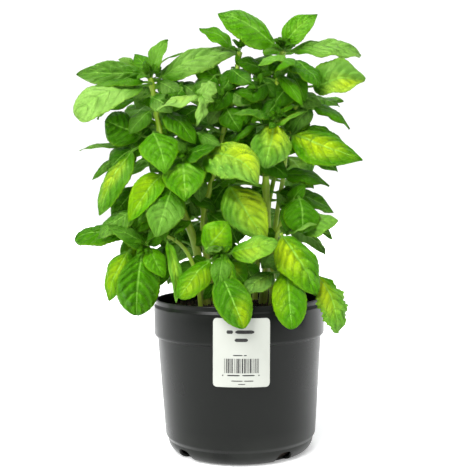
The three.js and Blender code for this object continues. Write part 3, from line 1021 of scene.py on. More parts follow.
# %% [markdown]
# ## Leaf blades
#
# A basil blade is a broad oval with a sharp tip. It arches along its length, its edges roll down or
# fold up, the margin waves, and the skin between the sunken side veins stands up in pillows. One
# function makes all of them: it lays a grid of corners over the blade, bends it by the leaf's own
# numbers, and closes it with an underside a third of a millimetre below, where the midrib stands out.
# The stalk is the first stretch of the same skin.
#
# Two attributes go with every corner. "blade" says how far across and along it lies and which side it
# is on, and "tint" says how bright, how yellow and how pale the leaf is there.

# %% Blade form
RISE = 0.58
VEIN_SWEEP = 0.34
VEIN_COUNT = 6.2
BLADE_THICK = 0.3 * MM
STALK_RADIUS = 1.1 * MM

FORM = {
    "point": 0.9,  # how sharp the tip is: 0.5 is blunt, 1 is drawn out
    "roll": 0.7,  # how far the edges turn down, in radians; negative turns them up
    "fold": 0.0,  # how steeply the halves rise from the midrib
    "wave": 0.06,  # height of the margin's waves, as a share of the half width
    "waves": 2.2,  # how many waves along one margin
    "teeth": 0.02,  # depth of the margin's teeth, as a share of the half width
    "sway": 0.0,  # how far the midrib bends sideways, as a share of the length
    "twist": 0.0,  # turn of the tip about the midrib, in radians
    "hook": 0.0,  # how far the tip bends down, as a share of the length
    "pillow": 0.06,  # height of the pillows, as a share of the half width
    "tone": 0.5,  # dark at 0, bright at 1
    "yellow": 0.0,  # strength of the yellow patch
    "patch": (0.45, 0.0, 0.35),  # the patch's place along and across the blade, and its size
    # The paleness is partly sun-bleaching and partly a painted sheen.
    "pale": 0.0,  # how bleached the outer blade is
}


def side_vein_phase(v, s):
    """Which side vein a point is near: whole numbers are on a vein, halves are midway between two."""
    start = np.clip(v - VEIN_SWEEP * np.abs(s) ** 1.4, 0.0, 1.0)
    return VEIN_COUNT * start ** 0.85, start


def blade_spine(leaf, form, stations):
    """The middle line of stalk and blade, with its side and up directions, at stations from -1 to 1."""
    neck, middle, tip, root = (np.array(p) for p in (leaf.neck, leaf.middle, leaf.tip, leaf.root))
    length = np.linalg.norm(tip - neck)
    v = np.clip(stations, 0, 1)[:, None]
    w = 1 + np.clip(stations, -1, 0)[:, None]
    blade_line = neck * (1 - v) ** 2 + middle * 2 * v * (1 - v) + tip * v * v
    start_slope = (middle - neck) / max(np.linalg.norm(middle - neck), 1e-9)
    stalk_bend = neck - start_slope * np.linalg.norm(neck - root) * 0.4
    stalk_line = root * (1 - w) ** 2 + stalk_bend * 2 * w * (1 - w) + neck * w * w
    spine = np.where(stations[:, None] < 0, stalk_line, blade_line)
    slope = np.gradient(spine, axis=0)
    slope /= np.linalg.norm(slope, axis=1)[:, None]
    up = np.array(leaf.up)
    up = up - slope * (slope @ up)[:, None]
    up /= np.linalg.norm(up, axis=1)[:, None]
    side = np.cross(slope, up)
    turn = form["twist"] * (v - 0.3)
    side, up = side * np.cos(turn) + up * np.sin(turn), up * np.cos(turn) - side * np.sin(turn)
    spine = spine - up * form["hook"] * length * np.clip(v - 0.5, 0, 1) ** 2 * 3
    spine = spine + side * form["sway"] * length * np.sin(math.pi * v)
    return spine, side, up


def leaf_grid(leaf, form, along, across, stalk_steps, seed):
    """Corners, blade map and tint of a closed leaf, ring by ring from its root to its tip."""
    phase_a, phase_b = np.random.default_rng(seed).uniform(0, math.tau, 2)
    half = leaf.width / 2
    stalk = np.linspace(-1, 0, stalk_steps, endpoint=False)
    blade = np.linspace(0, 1, along) ** 1.08
    stations = np.concatenate([stalk, blade[:-1], [0.995]])
    spine, side, up = blade_spine(leaf, form, stations)
    v = np.clip(stations, 0, 1)[:, None]
    on_stalk = np.clip(-stations, 0, 1)[:, None]

    s = np.linspace(-1, 1, across)[None, :]
    stalkness = np.clip(1 - v / 0.10, 0, 1) ** 2
    stalkness = np.where(stations[:, None] < 0, 1.0, stalkness)
    free = 1 - stalkness
    stalk_radius = min(STALK_RADIUS, max(0.55 * MM, 0.09 * leaf.width))
    flare = 1 + 2.4 * np.clip(on_stalk - 0.75, 0, 1)
    widest = RISE / (RISE + form["point"])
    oval = (v / widest) ** RISE * ((1 - v) / (1 - widest)) ** form["point"]
    teeth = 1 + form["teeth"] * free * (4 * np.abs((v * 13 + 0.25) % 1 - 0.5) - 1)
    reach = np.maximum(half * oval * teeth, stalk_radius * flare * (1 - v) * np.where(v > 0, 0.9, 1.0))
    reach = np.maximum(reach, 0.12 * MM)
    bend = form["roll"] * (1 - 0.25 * v) * free
    bend = np.where(np.abs(bend) < 0.02, 0.02, bend)
    x = reach * np.sin(bend * s) / bend
    h = -reach * (1 - np.cos(bend * s)) / bend
    h = h + form["fold"] * reach * free * (np.sqrt(s * s + 0.02) - 0.14)
    swing = np.where(s > 0, phase_a, phase_b)
    h = h + form["wave"] * half * free * s * s * np.sin(math.tau * form["waves"] * v + swing)
    h = h + 0.9 * form["wave"] * half * free * (1 - s * s) * np.sin(
        9.5 * v + phase_b
    ) * np.cos(2.4 * s + phase_a)
    h = h + 0.02 * half * free * np.sin(31 * v + 5 * np.abs(s) + phase_a) * np.sin(9 * s + phase_b)
    phase, from_midrib = side_vein_phase(v, s)
    quilt = np.abs(np.sin(math.pi * phase)) ** 0.6 * (1 - s ** 6) * np.clip(np.abs(s) * 5, 0, 1)
    uneven = 0.75 + 0.5 * np.sin(7 * s + phase_a + 9 * v) * np.sin(5 * v + phase_b + 4 * s)
    h = h + 2.0 * form["pillow"] * half * free * oval * quilt * uneven
    groove = np.exp(-((s * reach / (0.08 * half)) ** 2)) * free
    round_off = np.sqrt(np.clip(1 - s * s, 0, 1))
    top = h + round_off * (
        BLADE_THICK / 2 + 0.8 * stalk_radius * stalkness * flare
    ) - 0.3 * stalk_radius * groove * (1 - v)
    ribs = 0.9 * stalk_radius * (1 - v) ** 1.4 * groove
    on_vein = np.clip(1 - np.abs(np.sin(math.pi * phase)) * 2.2, 0, 1) * (from_midrib > 0.01)
    veins_below = 0.012 * half * free * on_vein * (1 - s * s)
    under = h - round_off * (BLADE_THICK / 2 + 1.1 * stalk_radius * stalkness * flare + ribs + veins_below)

    def places(offset):
        return spine[:, None, :] + side[:, None, :] * x[:, :, None] + up[:, None, :] * offset[:, :, None]

    inner = slice(across - 2, 0, -1)
    corners = np.concatenate([places(top), places(under)[:, inner, :]], axis=1)
    v_full = np.broadcast_to(stations[:, None], x.shape)
    s_full = np.broadcast_to(s, x.shape)
    place_v, place_s, size = form["patch"]
    near = np.exp(-(((v_full - place_v) / size) ** 2) - ((s_full - place_s) / (size * 1.6)) ** 2)
    blotch = 0.9 + 0.25 * np.sin(7 * v_full + phase_a) * np.sin(4 * s_full + phase_b)
    outer_paleness = form["pale"] * np.clip(v_full / 0.35, 0, 1)
    tint = np.stack([np.full(x.shape, form["tone"]), form["yellow"] * near * blotch, outer_paleness], axis=2)
    upper = np.stack([s_full, v_full, np.zeros(x.shape)], axis=2)
    lower = np.stack([s_full, v_full, np.ones(x.shape)], axis=2)
    blade_map = np.concatenate([upper, lower[:, inner, :]], axis=1)
    tints = np.concatenate([tint, tint[:, inner, :]], axis=1)
    return corners, blade_map, tints


def skin_faces(rings, size, first):
    """Quads between rings, and a closing face at each end."""
    i = np.arange(rings - 1)[:, None] * size
    k = np.arange(size)[None, :]
    n = (k + 1) % size
    quads = np.stack([i + k, i + k + size, i + n + size, i + n], axis=2).reshape(-1, 4) + first
    faces = [tuple(q) for q in quads.tolist()]
    faces.append(tuple(range(first, first + size)))
    last = first + (rings - 1) * size
    faces.append(tuple(range(last + size - 1, last - 1, -1)))
    return faces


def leaves_mesh(name, rows, along, across, stalk_steps=6):
    """One mesh from (frame, form, seed) rows."""
    corners, maps, tints, faces, first = [], [], [], [], 0
    for leaf, form, seed in rows:
        grid, blade_map, tint = leaf_grid(leaf, {**FORM, **form}, along, across, stalk_steps, seed)
        rings, size = grid.shape[:2]
        faces += skin_faces(rings, size, first)
        corners.append(grid.reshape(-1, 3))
        maps.append(blade_map.reshape(-1, 3))
        tints.append(tint.reshape(-1, 3))
        first += rings * size
    mesh = bpy.data.meshes.new(name)
    mesh.from_pydata(np.concatenate(corners).tolist(), [], faces)
    for label, values in (("blade", maps), ("tint", tints)):
        layer = mesh.attributes.new(label, "FLOAT_VECTOR", "POINT")
        layer.data.foreach_set("vector", np.concatenate(values).astype(np.float32).ravel())
    mesh.update()
    return mesh


print("blade form has", len(FORM), "numbers")

# %% [markdown]
# ## Leaf finish
#
# The vein pattern is worked out from the blade map, with the same rule that raises the pillows, so
# colour and shape agree. The group gives masks for the midrib, the side veins, a net of the smallest
# veins, the pillows, the margin, the underside, and the side of each pillow that is turned from the light.
# The colour carries painted shade in the valleys by the side veins and on that side of each pillow, and a
# painted highlight on the side that faces the light. Light passes through a living leaf, so the surface
# is a mix of a glossy Principled shader and a Translucent one, which lets the far side of a blade glow
# yellow-green.

# %% Vein group
VEIN_MASKS = ["Midrib", "Side Veins", "Net", "Pillow", "Margin", "Underside", "Lee"]

veins, given, made = shader_group(
    "leaf veins", [("Net Scale", FLOAT, 26.0)], [(mask, FLOAT) for mask in VEIN_MASKS],
)
blade_map = attribute(veins, "blade")["Vector"]
parts = split(veins, blade_map)
off_middle = math_node(veins, "ABSOLUTE", parts["X"])
sweep = times(veins, math_node(veins, "POWER", off_middle, 1.4), VEIN_SWEEP)
start = math_node(veins, "SUBTRACT", parts["Y"], sweep, clamp=True)
phase = times(veins, math_node(veins, "POWER", start, 0.85), VEIN_COUNT * math.pi)
away = math_node(veins, "ABSOLUTE", math_node(veins, "SINE", phase))
# The side of each pillow turned from the light: painted shade where positive, a painted highlight where
# negative.
shaded_side = math_node(veins, "SINE", times(veins, phase, -2.0))
past_base = ramp(veins, start, 0.0, 0.02)
fading = ramp(veins, off_middle, 0.9, 0.3)
rib = math_node(veins, "DIVIDE", off_middle, ramp(veins, parts["Y"], 0.0, 1.0, 0.085, 0.03))
on_stalk = ramp(veins, parts["Y"], 0.06, 0.0)
net_place = add_node(
    veins, "ShaderNodeVectorMath", {"operation": "MULTIPLY"}, i0=blade_map, i1=(0.5, 1.0, 0.0),
)
cells = add_node(
    veins, "ShaderNodeTexVoronoi", {"feature": "DISTANCE_TO_EDGE"},
    Vector=net_place.outputs[0], Scale=given["Net Scale"],
)
feed(
    veins, made,
    Midrib=math_node(veins, "MAXIMUM", ramp(veins, rib, 1.0, 0.35), on_stalk),
    Side_Veins=times(veins, times(veins, ramp(veins, away, 0.26, 0.0), past_base), fading),
    Net=ramp(veins, cells.outputs[0], 0.09, 0.01),
    Pillow=away,
    Margin=ramp(veins, off_middle, 0.84, 1.0),
    Underside=parts["Z"],
    Lee=times(veins, times(veins, shaded_side, past_base), fading),
)
print("vein group has", len(veins.nodes), "nodes")

# %% Leaf colours
DARK = (0.003, 0.085, 0.0005, 1)
BRIGHT = (0.175, 0.60, 0.002, 1)
YELLOW = (0.66, 0.85, 0.012, 1)
PALE = (0.52, 0.86, 0.20, 1)
BELOW = (0.15, 0.38, 0.04, 1)
GLOW = (0.28, 0.70, 0.005, 1)
GLOW_SHARE = 0.22
GLOSSY = 0.31
DULL = 0.62

leaf_skin, tree, shader, output = new_material("basil leaf")
vein = use_group(tree, veins)
tint = split(tree, attribute(tree, "tint")["Vector"])
tone = math_node(tree, "ADD", tint["X"], attribute(tree, "shade")["Fac"], clamp=True)
flesh = mix_colour(tree, tone, DARK, BRIGHT)
cloudy = use_group(
    tree, drift, Colour=flesh, Other=mix_colour(tree, 0.5, flesh, DARK), Scale=70.0, Amount=0.5,
)
mask = cloudy["Mask"]
# Painted highlight: the side of each pillow that faces the light is made brighter.
lit_side_highlight = times(tree, vein["Lee"], -0.16, clamp=True)
flesh = mix_colour(tree, lit_side_highlight, cloudy["Colour"], BRIGHT)
# Paler outer blade: partly sun-bleaching, partly a painted sheen.
bleach_and_sheen = math_node(tree, "SUBTRACT", tint["Z"], times(tree, mask, 0.2), clamp=True)
flesh = mix_colour(tree, bleach_and_sheen, flesh, PALE)
ripe = math_node(tree, "SUBTRACT", tint["Y"], times(tree, mask, 0.15), clamp=True)
flesh = mix_colour(tree, ripe, flesh, YELLOW)
print("flesh is mixed")

# %% Leaf shading by the veins
# Painted shade: the valleys by the side veins and the side of each pillow turned from the light are darkened,
# in patches.
patchy = math_node(tree, "ADD", times(tree, mask, 1.2), 0.05, clamp=True)
valley_shade = times(tree, ramp(tree, vein["Pillow"], 0.75, 0.05), patchy)
shaded_side = times(tree, math_node(tree, "MAXIMUM", vein["Lee"], 0.0), patchy)
shaded = math_node(tree, "ADD", times(tree, valley_shade, 0.3), times(tree, shaded_side, 0.34), clamp=True)
flesh = mix_colour(tree, shaded, flesh, mix_colour(tree, 0.7, flesh, DARK))
flesh = mix_colour(tree, times(tree, vein["Net"], 0.12), flesh, BRIGHT)
flesh = mix_colour(tree, times(tree, vein["Margin"], 0.3), flesh, mix_colour(tree, 0.4, BRIGHT, YELLOW))
lines = math_node(tree, "MAXIMUM", times(tree, vein["Side Veins"], 0.26), times(tree, vein["Midrib"], 0.6))
flesh = mix_colour(tree, lines, flesh, mix_colour(tree, 0.45, BRIGHT, PALE))
dull = mix_colour(tree, times(tree, lines, 0.7), mix_colour(tree, 0.35, BELOW, flesh), PALE)
colour = mix_colour(tree, vein["Underside"], flesh, dull)
gloss = math_node(tree, "ADD", ramp(tree, vein["Underside"], 0.0, 1.0, GLOSSY, DULL), times(tree, mask, 0.08))
height = math_node(tree, "SUBTRACT", times(tree, vein["Net"], -0.5), vein["Side Veins"])
relief = add_node(tree, "ShaderNodeBump", Height=height, Strength=0.9, Distance=0.0011).outputs[0]
feed(
    tree, shader, Base_Color=colour, Roughness=gloss, Normal=relief,
    Specular_IOR_Level=0.3, Specular_Tint=(0.85, 1.0, 0.35, 1),
)
glowing = add_node(
    tree, "ShaderNodeBsdfTranslucent", Color=mix_colour(tree, 0.55, colour, GLOW), Normal=relief,
)
feed(tree, output, Surface=mix_shader(tree, GLOW_SHARE, shader.outputs[0], glowing.outputs[0]))
print("leaf skin has", len(tree.nodes), "nodes")

# %% [markdown]
# ## Large leaves
#
# No two leaves of a plant are alike. Low ones are old, dark and wide, top ones are bright, some are
# yellowed in patches, and some are paler over the outer blade, which is partly sun-bleaching and partly a
# painted sheen. Most large leaves have a row of numbers of their own below. What a row leaves out is drawn
# from a seeded range, as is every number of a leaf without a row, so the plant is the same each time it is
# grown.

# %% Looks of the large leaves
LOOKS = {
    "left_leaf_1": dict(
        point=0.9, roll=0.3, fold=0.4, tone=0.8, yellow=0.5, patch=(0.5, 0.4, 0.5), pillow=0.02,
    ),
    "left_leaf_2": dict(
        point=1.0, roll=0.5, tone=0.55, pillow=0.07, yellow=0.15, patch=(0.6, 0.2, 0.4), pale=0.1,
    ),
    "left_leaf_3": dict(
        point=0.75, tone=0.45, yellow=0.75, patch=(0.42, 0.1, 0.28), pale=0.2, pillow=0.07, roll=0.8,
    ),
    "left_leaf_4": dict(point=1.0, tone=0.6, roll=0.4, pillow=0.05, hook=0.05, wave=0.05, pale=0.1),
    "left_leaf_5": dict(point=0.55, tone=0.3, pillow=0.07, roll=0.9, yellow=0.2, patch=(0.2, 0.6, 0.4)),
    "left_leaf_6": dict(tone=0.38, pillow=0.04, roll=0.5),
    "left_leaf_7": dict(point=0.45, tone=0.6, pale=0.7, pillow=0.04, roll=0.4, wave=0.05),
    "left_leaf_8": dict(point=0.7, tone=0.4, pale=0.5, pillow=0.12, roll=0.5, wave=0.08),
    "left_leaf_9": dict(point=0.95, tone=0.3, pale=0.25, pillow=0.16, fold=0.15, roll=0.5),
    "left_leaf_10": dict(tone=0.65, pale=0.3, pillow=0.06, fold=0.3, roll=0.2),
    "centre_left_leaf_1": dict(
        point=1.0, tone=0.5, yellow=0.85, patch=(0.55, -0.4, 0.5), pale=0.35, pillow=0.18, roll=0.8,
        sway=-0.08,
    ),
    "centre_left_leaf_2": dict(tone=0.6, roll=0.3, pillow=0.04, wave=0.12, hook=-0.05),
    "centre_right_leaf_1": dict(
        point=0.9, tone=0.65, yellow=0.85, patch=(0.55, -0.6, 0.6), pale=0.3, pillow=0.12, roll=0.7,
    ),
    "centre_right_leaf_2": dict(
        point=0.75, tone=0.6, yellow=1.0, patch=(0.3, -0.2, 0.38), pale=0.3, pillow=0.16, roll=0.9,
        hook=0.05,
    ),
    "centre_right_leaf_3": dict(tone=0.75, roll=0.9, pillow=0.05),
    "centre_right_leaf_4": dict(tone=0.3, roll=0.5, pillow=0.05),
    "centre_right_leaf_5": dict(point=0.8, tone=0.6, roll=0.6, pillow=0.05, wave=0.04, twist=-0.15),
    "centre_right_leaf_6": dict(point=0.6, tone=0.5, pale=0.45, pillow=0.1, roll=0.5, wave=0.12, waves=3),
    "centre_right_leaf_7": dict(point=0.95, tone=0.7, roll=0.4, pillow=0.05, yellow=0.1, fold=0.25),
    "right_leaf_1": dict(tone=0.35, teeth=0.12, wave=0.16, waves=4, yellow=0.3, patch=(0.8, 0, 0.25)),
    "right_leaf_2": dict(
        point=1.0, tone=0.4, yellow=0.9, patch=(0.45, 0.1, 0.32), pale=0.05, pillow=0.1, roll=0.75,
        hook=-0.08,
    ),
    "right_leaf_3": dict(
        point=0.9, tone=0.4, yellow=0.8, patch=(0.6, 0.5, 0.4), pale=0.4, roll=-0.35, fold=0.25, wave=0.14,
    ),
    "right_low_leaf_1": dict(point=0.6, tone=0.35, pillow=0.06, roll=0.8),
    "right_low_leaf_2": dict(tone=0.6, pillow=0.04, roll=0.5),
    "left_low_leaf_1": dict(point=0.55, tone=0.35, pillow=0.13, roll=0.6, wave=0.05),
    "left_low_leaf_2": dict(tone=0.65, yellow=0.6, patch=(0.5, 0.1, 0.4), pillow=0.06),
    "left_low_leaf_3": dict(point=0.5, tone=0.3, pillow=0.1, roll=0.8, wave=0.08),
    "left_low_leaf_4": dict(tone=0.35, pale=0.25, pillow=0.07, roll=0.7),
    "front_left_leaf_1": dict(
        point=0.65, tone=0.32, yellow=0.45, patch=(0.85, -0.2, 0.35), pillow=0.07, roll=0.4, wave=0.1,
    ),
    "front_left_leaf_2": dict(point=0.6, tone=0.5, yellow=0.5, patch=(0.6, -0.4, 0.4), pillow=0.05, roll=0.7),
    "front_left_leaf_3": dict(
        point=0.6, tone=0.7, yellow=0.45, patch=(0.5, 0.3, 0.45), pillow=0.09, roll=0.6,
    ),
    "front_left_leaf_4": dict(point=1.0, tone=0.7, yellow=0.3, patch=(0.5, 0.0, 0.5), pillow=0.03, roll=0.4),
    "front_right_leaf_1": dict(
        point=0.8, tone=0.5, yellow=0.85, patch=(0.3, 0.5, 0.38), pale=0.1, pillow=0.12, roll=0.7,
        wave=0.08,
    ),
    "front_right_leaf_2": dict(
        point=0.6, tone=0.5, yellow=0.35, patch=(0.4, 0.7, 0.5), pillow=0.03, roll=0.75, wave=0.03,
    ),
    "front_right_leaf_3": dict(
        point=0.6, tone=0.5, yellow=1.0, patch=(0.3, 0.3, 0.35), teeth=0.1, pillow=0.06, roll=0.4,
        wave=0.14, waves=4,
    ),
    "front_right_leaf_4": dict(tone=0.22, yellow=0.2, patch=(0.3, 0.0, 0.4), pillow=0.04),
}
print(len(LOOKS), "leaves have looks of their own")

# %% Grow the large leaves
BLADE_ALONG = 44
BLADE_ACROSS = 33


def chance_form(chance):
    """What sets one leaf apart from the next, from seeded ranges."""
    return {
        "roll": chance.uniform(0.4, 0.9), "tone": chance.uniform(0.3, 0.7), "wave": chance.uniform(0.04, 0.1),
        "twist": chance.uniform(-0.3, 0.3), "hook": chance.uniform(0.0, 0.12),
        "pillow": chance.uniform(0.04, 0.08),
        "sway": chance.uniform(-0.05, 0.05), "pale": max(0.0, chance.uniform(-0.3, 0.4)),
    }


large_meshes = {}
for order, (node, leaf) in enumerate(leaf_frames.items()):
    form = {**chance_form(random.Random(order)), **LOOKS.get(node, {})}
    mesh = leaves_mesh(node + "_blade", [(leaf, form, 100 + order)], BLADE_ALONG, BLADE_ACROSS)
    large_meshes[node] = mesh
    finish_piece(node + "_blade", mesh, leaf_skin, "leaf_green", node)
print(f"{len(large_meshes)} large leaves, {sum(len(m.polygons) for m in large_meshes.values())} faces")

# %% [markdown]
# ## Side leaves
#
# Between the large leaves stand middle-sized ones, most of them on short side shoots. They have no solid
# of their own in the frame. The rows go by stem. Each gives how far up the stem's middle line the leaf's
# root lies, the stalk and the blade as vectors in millimetres, and the width. Then comes either the way the
# upper side faces and what sets the form apart, or only a tone, for a plain leaf that faces the front.

